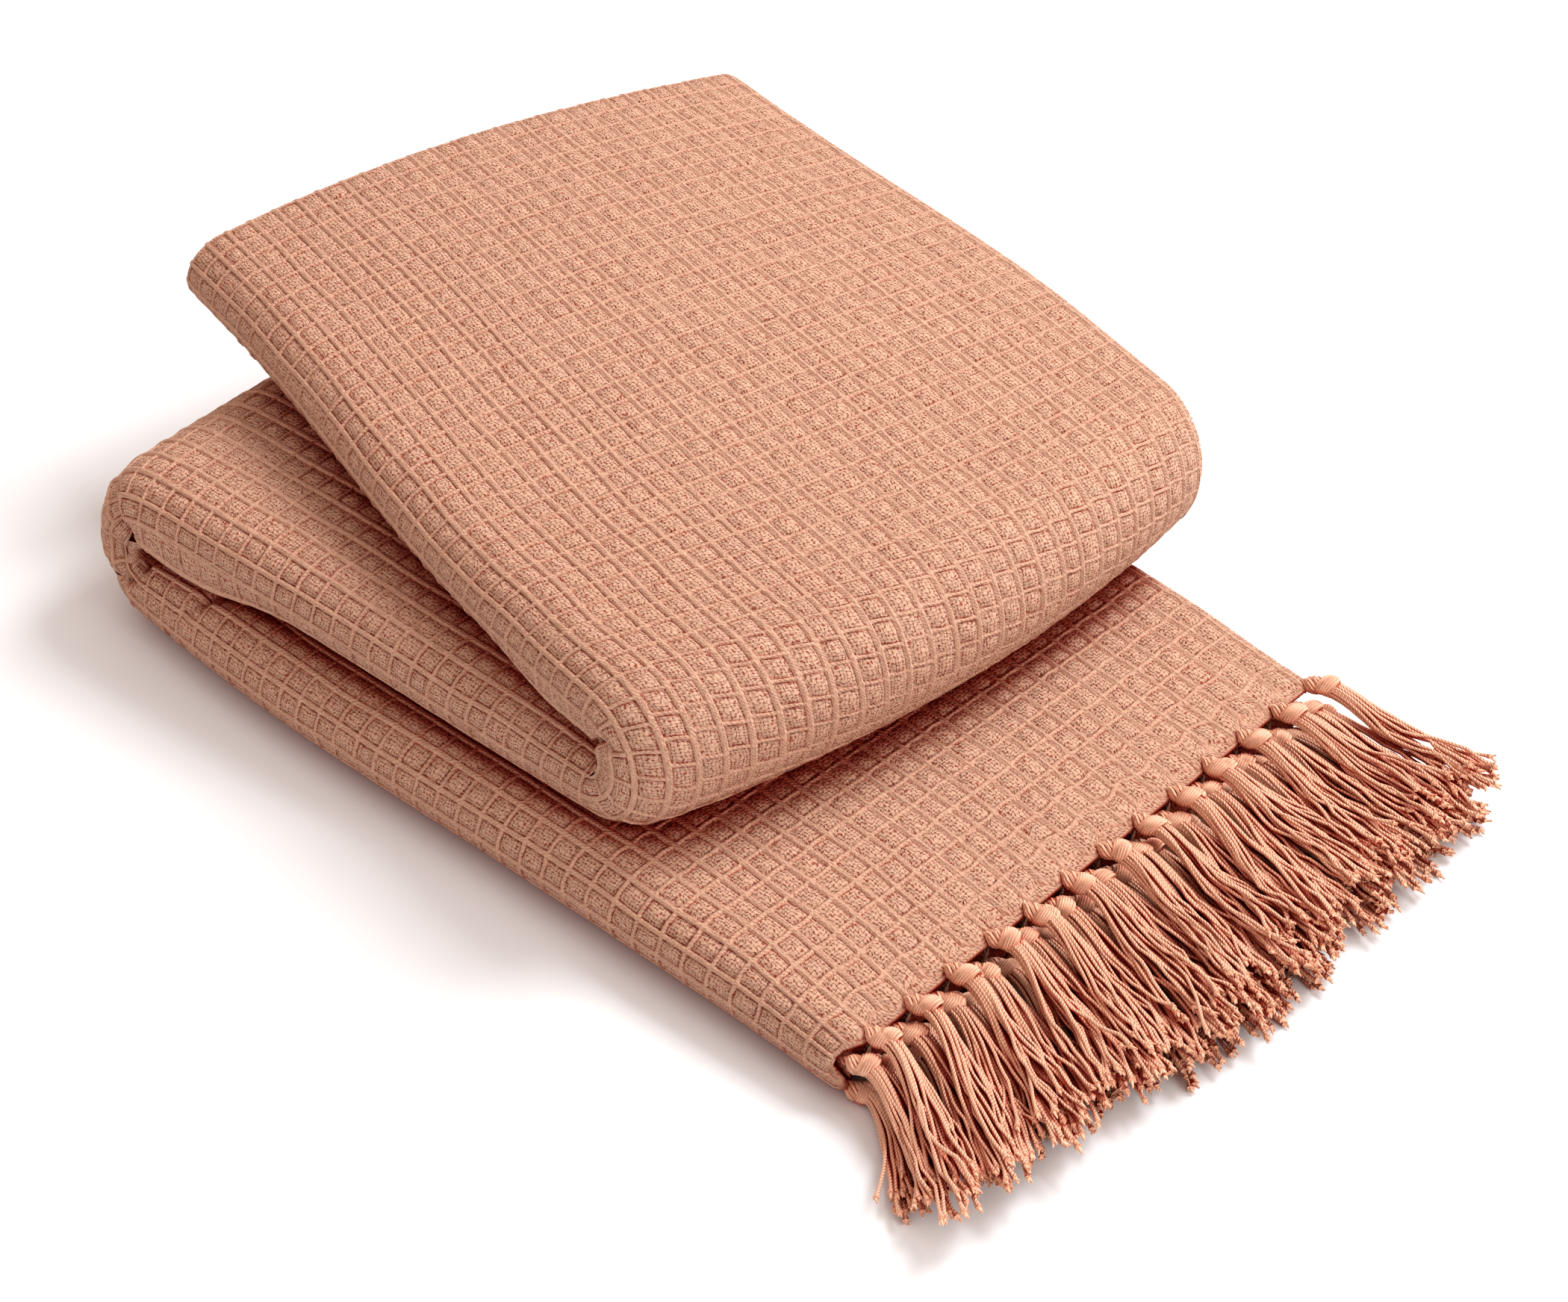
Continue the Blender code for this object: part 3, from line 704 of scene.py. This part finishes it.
def make_face(name, rows, shows):
    points, quads, squares, heights, total = [], [], [], [], 0
    for row in rows:
        table = row_table(row)
        for q, fine in row_lines(row, shows, table):
            across, along = np.meshgrid(np.array(lines_in(row, fine)["across"]), q)
            made, height = face_patch(row, across, along, table)
            quads.append(grid_quads(len(q), across.shape[1])[:, ::-1] + total)
            points.append(made)
            squares.append(np.stack([row + across, along], -1).reshape(-1, 2))
            heights.append(height.ravel())
            total += len(made)
    return make_mesh(name, *(np.concatenate(part) for part in (points, quads, squares, heights)))


for part in FACES:
    face = make_face(part["name"], part["rows"], SHOWS[part["shows"]])
    face.data.materials.append(waffle_cotton)
    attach(face, "root")


# -------------------- the knotted fringe
# The warp yarns of each layer leave its edge in bunches, two squares of the waffle to a tassel. A
# bunch is drawn together, tied in an overhand knot, and hangs down as plied cords with frayed ends.
# There are four rows of them, one for each layer, and the upper ones lie on the lower.
TASSELS = 13
KNOT_AT = 0.0125  # from the cloth's edge to the middle of a knot
KNOT_LEAN = 0.0050  # a knot pulls to one side by this much
KNOT_STRAY = (0.0012, 0.0016, 0.0007)
KNOT_POINTS = (1.0, 1.0, 0.35)  # a knot points less steeply than its yarns come down
ALONG_ROW = (0.0, 0.5, 1.0)  # where along a row its lengths and drifts are given
FRINGE = (  # from the top layer down; a row's knots stand at one height and its cords lie at another
    {"layer": 1, "knot": 0.0262, "lie": 0.0135,
     "lengths": (0.070, 0.086, 0.077), "drifts": (-0.048, -0.020, 0.006)},
    {"layer": 2, "knot": 0.0190, "lie": 0.0090,
     "lengths": (0.060, 0.089, 0.079), "drifts": (-0.056, -0.024, 0.008)},
    {"layer": 3, "knot": 0.0117, "lie": 0.0045,
     "lengths": (0.050, 0.090, 0.082), "drifts": (-0.066, -0.020, 0.006)},
    {"layer": 0, "knot": 0.0051, "lie": 0.0000,
     "lengths": (0.048, 0.087, 0.080), "drifts": (-0.080, -0.028, 0.010)},
)
NEAR_SET_IN = {"outer": 0.003, "inner": 0.010}  # of a row's first yarn from the near edge
FAR_SET_IN = 0.005
UP = (0.0, 0.0, 1.0)
PLY_LAY = 0.0016  # along a cord from one turn of its plies to the next
YARN_LAY = 0.0090  # and along the softer yarns of a knot
FRAYED = 2.5  # the UV place of cut ends, where the plies don't show


def tubes(paths, radii, sides, reference, lay=PLY_LAY):
    """Closed tubes along paths, as points, quads and the place of each quad's corners."""
    count, steps, _ = paths.shape
    ahead = np.gradient(paths, axis=1)
    length = np.linalg.norm(np.diff(paths, axis=1), axis=2)
    along = np.concatenate([np.zeros((count, 1)), np.cumsum(length, axis=1)], axis=1)
    ahead /= np.linalg.norm(ahead, axis=2, keepdims=True)
    side = np.cross(ahead, reference)
    side /= np.linalg.norm(side, axis=2, keepdims=True)
    up = np.cross(side, ahead)
    turn = (np.arange(sides) + 0.5) * 2 * math.pi / sides
    ring = (
        paths[:, :, None]
        + radii[:, :, None, None]
        * (np.cos(turn)[:, None] * side[:, :, None] + np.sin(turn)[:, None] * up[:, :, None])
    )
    quads = grid_quads(steps, sides, closed=True)
    first = (np.arange(count) * steps * sides)[:, None, None]
    column = np.arange(sides)
    round_it = np.stack([column, column + 1, column + 1, column], -1) / sides
    corners = np.empty((count, steps - 1, sides, 4, 2))
    corners[..., 0] = round_it
    corners[..., 0:2, 1] = along[:, :-1, None, None] / lay
    corners[..., 2:4, 1] = along[:, 1:, None, None] / lay
    faces = (quads + first).reshape(-1, 4)
    corners = corners.reshape(-1, 4, 2)
    for base, order in ((0, 1), ((steps - 1) * sides, -1)):
        for start in range(1, sides - 2, 2):
            cap = np.array([0, start, start + 1, start + 2])[::order] + base
            faces = np.concatenate([faces, cap + first[:, 0]])
            corners = np.concatenate([corners, np.full((count, 4, 2), FRAYED)])
    return ring.reshape(-1, 3), faces, corners


def join(parts):
    """One set of points, quads and corners from several."""
    start = np.cumsum([0] + [len(points) for points, _, _ in parts])
    points = np.concatenate([part[0] for part in parts])
    quads = np.concatenate([part[1] + first for part, first in zip(parts, start)])
    return points, quads, np.concatenate([part[2] for part in parts])


def knot_frame(row, k):
    """The middle of the edge that a tassel hangs from, its knot and the way that the knot points."""
    across = (k - (TASSELS - 1) / 2 + KNOT_SHIFT[row["layer"]]) * TASSEL_PITCH
    edge = fold_up(np.zeros(1), np.array([across]), np.array([row["level"]]))[0]
    knot = np.array([edge[0] + KNOT_AT, edge[1] + KNOT_LEAN, row["knot"]])
    knot += rng.uniform(-1, 1, 3) * KNOT_STRAY
    ahead = (knot - edge) * KNOT_POINTS
    return across, edge, knot, ahead / np.linalg.norm(ahead)


GATHERED = {"yarns": 10, "radius": 0.00085, "least": 0.0009, "close_by": 0.62, "turns": 1.3}
GATHERED_SPREAD = 0.46  # in pitches, each way
GATHERED_SIZE, GATHERED_SWELL = 0.0025, 0.0009
OUT_OF_EDGE = (0.0015, 0.0, -0.0004)  # where a yarn leaves the cloth's edge,
SCALLOP = 0.0035  # and the outer ones leave it this much further back
CORE_FROM, CORE_TO, CORE_RADIUS = -0.0080, 0.0065, 0.0026
CORE_GIRTH = (0.5, 0.9, 1.05, 1.0, 1.0, 1.0, 0.9)
LOOP = {"strands": 7, "radius": 0.00092, "least": 0.0010, "half": 0.0031, "round": 0.0037}
LOOP_STEPS, LOOP_TURNS = 15, 2.35  # half turns that the loop takes round the knot
LOOP_INNER, LOOP_OUTER = 0.0024, 0.0022
LOOP_TILT, LOOP_LEAN, LOOP_SLIDE, LOOP_RISE = (0.0016, 0.0028), (0.6, 2.2), 0.0016, 0.0004


def nose_height(y, outer):
    """How high an outer layer still is where the near edge rounds it off, as a share."""
    _, _, (centre, _, reach, _, _, _, _) = stretches(np.zeros(1))[NOSE]
    return rounded(np.minimum(y - centre, 0), reach) if outer else np.ones_like(y)


def gathered_yarns(row, across, edge, knot, side, up):
    """The yarns drawn together behind a knot."""
    share = np.linspace(0, 1, 9)[None, :, None]
    spread = np.linspace(-GATHERED_SPREAD, GATHERED_SPREAD, GATHERED["yarns"])[:, None, None]
    turn = math.pi * (2 * spread + GATHERED["turns"] * share) + rng.uniform(-0.5, 0.5)
    edge_y = np.clip(across + spread * TASSEL_PITCH, *row["between"]).ravel()
    level = row["level"] * nose_height(edge_y, row["outer"])
    start = fold_up(np.zeros(len(edge_y)), edge_y, level)[:, None, :] + OUT_OF_EDGE
    apart = np.clip(1 - share / GATHERED["close_by"], 0, 1) ** 1.5
    swell = GATHERED_SWELL * np.sin(math.pi * np.clip(share / 0.9 - 0.2, 0, 1))
    round_it = (1 - apart) * (GATHERED_SIZE + swell)
    gathered = edge + (knot - edge) * share + (start - edge) * apart
    gathered = gathered + round_it * (np.cos(turn) * side + np.sin(turn) * up)
    gathered[..., 0] -= (SCALLOP * np.abs(spread) * 2 * apart)[..., 0]
    gathered[..., 2] = np.maximum(gathered[..., 2], GATHERED["least"])
    return tubes(gathered, np.full(gathered.shape[:2], GATHERED["radius"]), 6, UP, YARN_LAY)


def knot_core(knot, ahead):
    girth = CORE_RADIUS * np.array(CORE_GIRTH)
    core = knot + np.linspace(CORE_FROM, CORE_TO, len(girth))[:, None] * ahead
    return tubes(core[None], girth[None], 8, UP, YARN_LAY)


def knot_loop(knot, ahead, side, up):
    """The loop of an overhand knot, tied round its core."""
    steps = np.linspace(-1, 1, LOOP_STEPS)[None, :, None]
    beside = np.linspace(-LOOP["half"], LOOP["half"], LOOP["strands"])[:, None, None]
    turns = np.linspace(0, LOOP_TURNS * math.pi, LOOP_STEPS)[None, :, None]
    turn = rng.uniform(0, 2 * math.pi) + turns
    size = LOOP_INNER + LOOP_OUTER * np.sqrt(1 - (beside / LOOP["round"]) ** 2)
    tilt = rng.uniform(*LOOP_TILT) * np.cos(turn - rng.uniform(*LOOP_LEAN))
    ends = np.sin(math.pi * (0.5 + 0.47 * steps)) ** 0.30
    along = (beside + tilt + LOOP_SLIDE * steps**3) * ahead
    loop = knot + np.array([0.0, 0.0, LOOP_RISE]) + along
    loop = loop + size * ends * (np.cos(turn) * side + np.sin(turn) * up)
    loop[..., 2] = np.maximum(loop[..., 2], LOOP["least"])
    return tubes(loop, np.full(loop.shape[:2], LOOP["radius"]), 6, tuple(ahead), YARN_LAY)


def knot_parts(row, across, edge, knot, ahead):
    """A knot: the yarns drawn together behind it, its core and the loop tied round it."""
    side = np.array([-ahead[1], ahead[0], 0.0])
    side /= np.linalg.norm(side)
    up = np.cross(ahead, side)
    gathered = gathered_yarns(row, across, edge, knot, side, up)
    return [gathered, knot_core(knot, ahead), knot_loop(knot, ahead, side, up)]


CORD = 0.00082  # radius of a plied cord
CORD_UNEVEN = (0.86, 1.10)
CORD_ENDS = (1.0, 1.3, 1.75)  # its cut end opens by this much
CORD_STATIONS = np.array(
    (0, .06, .12, .18, .25, .32, .39, .46, .53, .60, .67, .74, .81, .88, .94, .975, 1)
)
OUTER_CORDS = {"count": 16, "radius": 0.88, "sides": 6}  # cords of a tassel, round its bundle
INNER_CORDS = {"count": 10, "radius": 0.45, "sides": 4}  # and within it
BUNDLE_AT_KNOT = 0.0034  # radius of the bundle as it leaves the knot
BUNDLE_WIDE, BUNDLE_HIGH = 0.0090, 0.0038  # half its width and height where it lies
FALL_BY, OPEN_BY = 0.038, 0.055  # it has come down, and opened, by this far from the knot
DRIFT_REACH, DRIFT_BEND, DRIFT_STRAY = 0.100, 1.25, 0.007
BUNDLE_TWIST = 0.6
CORD_TURN, CORD_OUT = (-0.3, 0.3), (0.85, 1.12)  # how unevenly the cords lie in it
LOCKS, LOCK_SLANT = 5, 0.25  # groups of cords that keep together, side by side
LOCK_LENGTH, LOCK_SWING, LOCK_LIFT = (-0.13, 0.07), (-0.0045, 0.0045), (-0.0012, 0.0020)
CORD_LENGTH = (-0.07, 0.05)
WAVES = ((0.0026, 65), (0.0016, 145), (0.0007, 360))  # how far a cord strays, and how often
WAVES_ASIDE, WAVES_UP, WAVES_START = (0.2, 1.0), (0.1, 0.5), (0, 6.3)
LOOSE_SHARE, LOOSE_FROM = 0.28, 0.45  # these many cords stray from the bundle, over this last part
LOOSE_ASIDE, LOOSE_UP, LOOSE_BACK = 0.010, 0.004, 0.004
KNOT_AHEAD, AHEAD_FOR = 0.006, 0.006  # the cords first follow the way that the knot points
FIBRES = {"count": 4, "radii": (0.00078, 0.00036), "least": 0.0008, "apart": 0.45}
FIBRE_REACH, FIBRE_BACK = (0.0010, 0.0027), -0.4  # ahead of the cut, and back into the cord


def bundle_places():
    """Where each cord lies in its bundle, in a circle of radius 1."""
    places = []
    for ring in (OUTER_CORDS, INNER_CORDS):
        count = ring["count"]
        angles = 2 * math.pi * (np.arange(count) + rng.uniform(*CORD_TURN, count)) / count
        radii = ring["radius"] * rng.uniform(*CORD_OUT, count)
        places.append(np.stack([radii * np.cos(angles), radii * np.sin(angles)], -1))
    return np.concatenate(places)


def frayed_ends(paths):
    """Fibres that stand out of each cord's cut end."""
    ends = np.repeat(paths[:, -1], FIBRES["count"], axis=0)
    ahead = np.repeat(paths[:, -1] - paths[:, -3], FIBRES["count"], axis=0)
    ahead /= np.linalg.norm(ahead, axis=1, keepdims=True)
    reach = rng.uniform(*FIBRE_REACH, (len(ends), 1, 1)) * np.array([FIBRE_BACK, 1.0])[:, None]
    apart = rng.uniform(-FIBRES["apart"], FIBRES["apart"], (len(ends), 1, 3))
    fibres = ends[:, None] + reach * (ahead[:, None] + apart)
    fibres[:, 0] = ends + 0.3 * (fibres[:, 0] - ends)
    fibres[..., 2] = np.maximum(fibres[..., 2], FIBRES["least"])
    radii = np.tile(FIBRES["radii"], (len(ends), 1))
    points, quads, corners = tubes(fibres, radii, 4, UP)
    return points, quads, np.full_like(corners, FRAYED)


def lock_values(lock, limits):
    """One random value for each lock, given to all of its cords."""
    return rng.uniform(*limits, LOCKS)[lock]


def tassel_cords(row, across, knot, ahead):
    """The cords that hang from one knot, and the fibres that stand out of their cut ends."""
    share = 0.5 + across / STRIP_WIDTH
    usual = np.interp(share, ALONG_ROW, row["lengths"])
    drift = np.interp(share, ALONG_ROW, row["drifts"]) - KNOT_LEAN
    drift += rng.uniform(-DRIFT_STRAY, DRIFT_STRAY)
    places = bundle_places()
    count = len(places)
    lock = np.argsort(np.argsort(places[:, 0] + LOCK_SLANT * places[:, 1])) * LOCKS // count
    lock_length = lock_values(lock, LOCK_LENGTH)
    lock_swing = lock_values(lock, LOCK_SWING)[:, None]
    lock_lift = lock_values(lock, LOCK_LIFT)[:, None]
    reach = usual * (1 + lock_length + rng.uniform(*CORD_LENGTH, count))
    along = reach[:, None] * CORD_STATIONS[None, :]
    fall = smooth(along / FALL_BY)
    opened = smooth(along / OPEN_BY)
    wide = BUNDLE_AT_KNOT + (BUNDLE_WIDE - BUNDLE_AT_KNOT) * opened
    high = BUNDLE_AT_KNOT + (BUNDLE_HIGH - BUNDLE_AT_KNOT) * opened
    twist = rng.uniform(-BUNDLE_TWIST, BUNDLE_TWIST) * opened
    u = places[:, :1] * np.cos(twist) - places[:, 1:] * np.sin(twist)
    v = places[:, :1] * np.sin(twist) + places[:, 1:] * np.cos(twist)
    y = knot[1] + drift * (along / DRIFT_REACH) ** DRIFT_BEND + wide * u + lock_swing * opened
    z = row["knot"] * (1 - fall) + (row["lie"] + BUNDLE_HIGH + CORD * 0.6) * fall
    z += high * v + lock_lift * opened
    for far, often in WAVES:
        for place, limits in ((y, WAVES_ASIDE), (z, WAVES_UP)):
            strength = rng.uniform(*limits, (count, 1)) * far * opened
            place += strength * np.sin(along * often + rng.uniform(*WAVES_START, (count, 1)))
    past = np.clip(CORD_STATIONS - LOOSE_FROM, 0, 1)[None, :] / (1 - LOOSE_FROM)
    loose = (rng.random((count, 1)) < LOOSE_SHARE) * rng.uniform(-1, 1, (count, 1))
    y += LOOSE_ASIDE * loose * past**1.6
    z += LOOSE_UP * np.abs(loose) * past
    y += KNOT_AHEAD * ahead[1] * (1 - np.exp(-along / AHEAD_FOR))
    x = knot[0] + along - LOOSE_BACK * np.abs(loose) * past**2
    radii = np.full(along.shape, CORD) * rng.uniform(*CORD_UNEVEN, (count, 1))
    radii[:, -3:] *= np.array(CORD_ENDS)
    paths = np.stack([x, y, np.maximum(z, radii)], -1)
    split = OUTER_CORDS["count"]
    outer = tubes(paths[:split], radii[:split], OUTER_CORDS["sides"], UP)
    inner = tubes(paths[split:], radii[split:], INNER_CORDS["sides"], UP)
    return [outer, inner, frayed_ends(paths)]


YARN_LIGHT = (0.90, 0.60, 0.455, 1.0)
# colour of painted shade in the fringe, and of the darker mottle
YARN_SHADE = (0.58, 0.040, 0.012, 1.0)
YARN_ROUGHNESS = 0.9
PLIES = 4.0
PLY_BUMP, PLY_DEPTH = 0.9, 0.0005
# painted shade in the grooves between the plies
PLY_SHADE = (0.10, 0.62, 0.25)
HAIR_SCALE, HAIR_DETAIL, HAIR_HIGH, HAIR_TINT = 1400.0, 3.0, 0.3, -0.35
CORD_SKY_REACH = 0.006  # within the fringe
# painted shade deep in the fringe, by the share of open sky
CORD_SKY_SHADE = (0.18, 0.82, 1.0)
# how strong the painted shade is, and an even share of the shade colour
CORD_SHADE, CORD_DULL = 1.15, 0.08


def make_fringe_yarn():
    """Plied cotton with painted shade: it reddens in its plies' grooves and deep in the fringe, where
    light has been from cord to cord.
    """
    material, tree = new_material("fringe_yarn")
    turns = node(tree, "UVMap", uv_map="weave").outputs[0]
    place = node(tree, "SeparateXYZ", in0=turns)
    phase = reckon(tree, "MULTIPLY_ADD", place.outputs[0], PLIES, place.outputs[1])
    from_groove = reckon(tree, "MULTIPLY", reckon(tree, "PINGPONG", phase, 0.5), 2.0)
    ply = reckon(tree, "POWER", from_groove, 0.5)
    fuzz = node(tree, "TexNoise", in2=HAIR_SCALE, in3=HAIR_DETAIL,
                in0=node(tree, "TexCoord").outputs["Object"]).outputs[0]
    rough = reckon(tree, "MULTIPLY_ADD", fuzz, HAIR_HIGH, ply)
    bump = node(tree, "Bump", in0=PLY_BUMP, in1=PLY_DEPTH, in3=rough)
    # painted shade in the grooves between the plies
    ply_groove_shade = ramp(tree, ply, *PLY_SHADE, 0.0)
    # painted shade deep in the fringe, by ambient occlusion; none on the cut ends
    open_sky = node(tree, "AmbientOcclusion", samples=4, in1=CORD_SKY_REACH).outputs["AO"]
    painted_occlusion_shade = ramp(tree, open_sky, *CORD_SKY_SHADE, 0.0)
    not_frayed = reckon(tree, "LESS_THAN", place.outputs[0], 1.5)
    shade = reckon(tree, "MULTIPLY", reckon(tree, "MAXIMUM", ply_groove_shade, painted_occlusion_shade), not_frayed)
    tone_and_painted_shade = reckon(tree, "MULTIPLY_ADD", shade, CORD_SHADE, CORD_DULL)
    mottle_and_painted_shade = reckon(tree, "MULTIPLY_ADD", fuzz, HAIR_TINT, tone_and_painted_shade, clamp=True)
    tint = node(tree, "Mix", data_type="RGBA", in0=mottle_and_painted_shade, in6=YARN_LIGHT, in7=YARN_SHADE)
    finish_cotton(tree, tint, YARN_ROUGHNESS, bump)
    return material


fringe_yarn = make_fringe_yarn()
for index, row in enumerate(FRINGE):
    parts = []
    row["level"] = (1.5 - index) * (SHEET + GAP_PRESSED)
    row["outer"] = index in (0, 3)
    set_in = NEAR_SET_IN["outer" if row["outer"] else "inner"]
    row["between"] = (set_in - STRIP_WIDTH / 2, STRIP_WIDTH / 2 - FAR_SET_IN)
    for k in range(TASSELS):
        across, edge, knot, ahead = knot_frame(row, k)
        parts += knot_parts(row, across, edge, knot, ahead)
        parts += tassel_cords(row, across, knot, ahead)
    points, quads, corners = join(parts)
    tassels = make_mesh(f"tassels_{index + 1}", points, quads, corners)
    tassels.data.materials.append(fringe_yarn)
    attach(tassels, "root")
    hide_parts(f"fringe_row_{index + 1}")


# -------------------- floor, light and camera
# A white sweep of paper under a broad soft light from above and behind and a weaker one in front,
# and a lens of 80 mm that looks down at the near corner.
PAPER = (0.85, 0.93, 0.98, 1)
PAPER_SIZE = 12
PAPER_GAP = 0.0002  # below the cloth
ROOM_COLOUR, ROOM_LIGHT = (1.0, 0.82, 0.74, 1), 0.62
LIGHTS = (
    {"name": "key", "place": (0.25, 1.20, 1.60), "size": (0.9, 0.9), "power": 21.5},
    {"name": "front", "place": (1.70, 0.10, 0.75), "size": (0.8, 0.5), "power": 6.5},
)
WIDTH_PX, FOCAL_PX = 2100, 4650
SENSOR_MM = 36.0
ELEVATION, AZIMUTH = 39.41, -44.41
BESIDE, BELOW, AWAY = -0.0316, 0.0078, 1.5410  # the camera from the origin, in its own directions

bpy.ops.mesh.primitive_plane_add(size=PAPER_SIZE)
floor = bpy.context.object
floor.name = "floor"
floor.location.z = min(0.0, cad_low.z) - PAPER_GAP
paper, tree = new_material("paper")
tree.nodes["Principled BSDF"].inputs["Base Color"].default_value = PAPER
tree.nodes["Principled BSDF"].inputs["Roughness"].default_value = 1.0
floor.data.materials.append(paper)

world = bpy.data.worlds.new("studio")
world.use_nodes = True
world.node_tree.nodes["Background"].inputs[0].default_value = ROOM_COLOUR
world.node_tree.nodes["Background"].inputs[1].default_value = ROOM_LIGHT
bpy.context.scene.world = world

for light in LIGHTS:
    lamp = bpy.data.lights.new(light["name"], "AREA")
    lamp.shape = "RECTANGLE"
    lamp.size, lamp.size_y = light["size"]
    lamp.energy = light["power"]
    holder = bpy.data.objects.new(light["name"], lamp)
    holder.location = light["place"]
    holder.rotation_mode = "QUATERNION"
    holder.rotation_quaternion = (-Vector(light["place"])).to_track_quat("-Z", "Y")
    bpy.context.collection.objects.link(holder)

azimuth, elevation = math.radians(AZIMUTH), math.radians(ELEVATION)
heading = Vector((math.sin(azimuth), math.cos(azimuth), 0))
right = Vector((math.cos(azimuth), -math.sin(azimuth), 0))
ahead = math.cos(elevation) * heading - Vector((0, 0, math.sin(elevation)))
above = math.sin(elevation) * heading + Vector((0, 0, math.cos(elevation)))
lens = bpy.data.cameras.new("camera")
lens.sensor_width = SENSOR_MM
lens.lens = SENSOR_MM * FOCAL_PX / WIDTH_PX
lens.clip_start, lens.clip_end = 0.1, 30
camera = bpy.data.objects.new("camera", lens)
camera.rotation_mode = "QUATERNION"
camera.rotation_quaternion = ahead.to_track_quat("-Z", "Y")
camera.location = -BESIDE * right + BELOW * above - AWAY * ahead
bpy.context.collection.objects.link(camera)
bpy.context.scene.camera = camera
bpy.context.scene.view_settings.view_transform = "Standard"
bpy.context.scene.view_settings.look = "High Contrast"
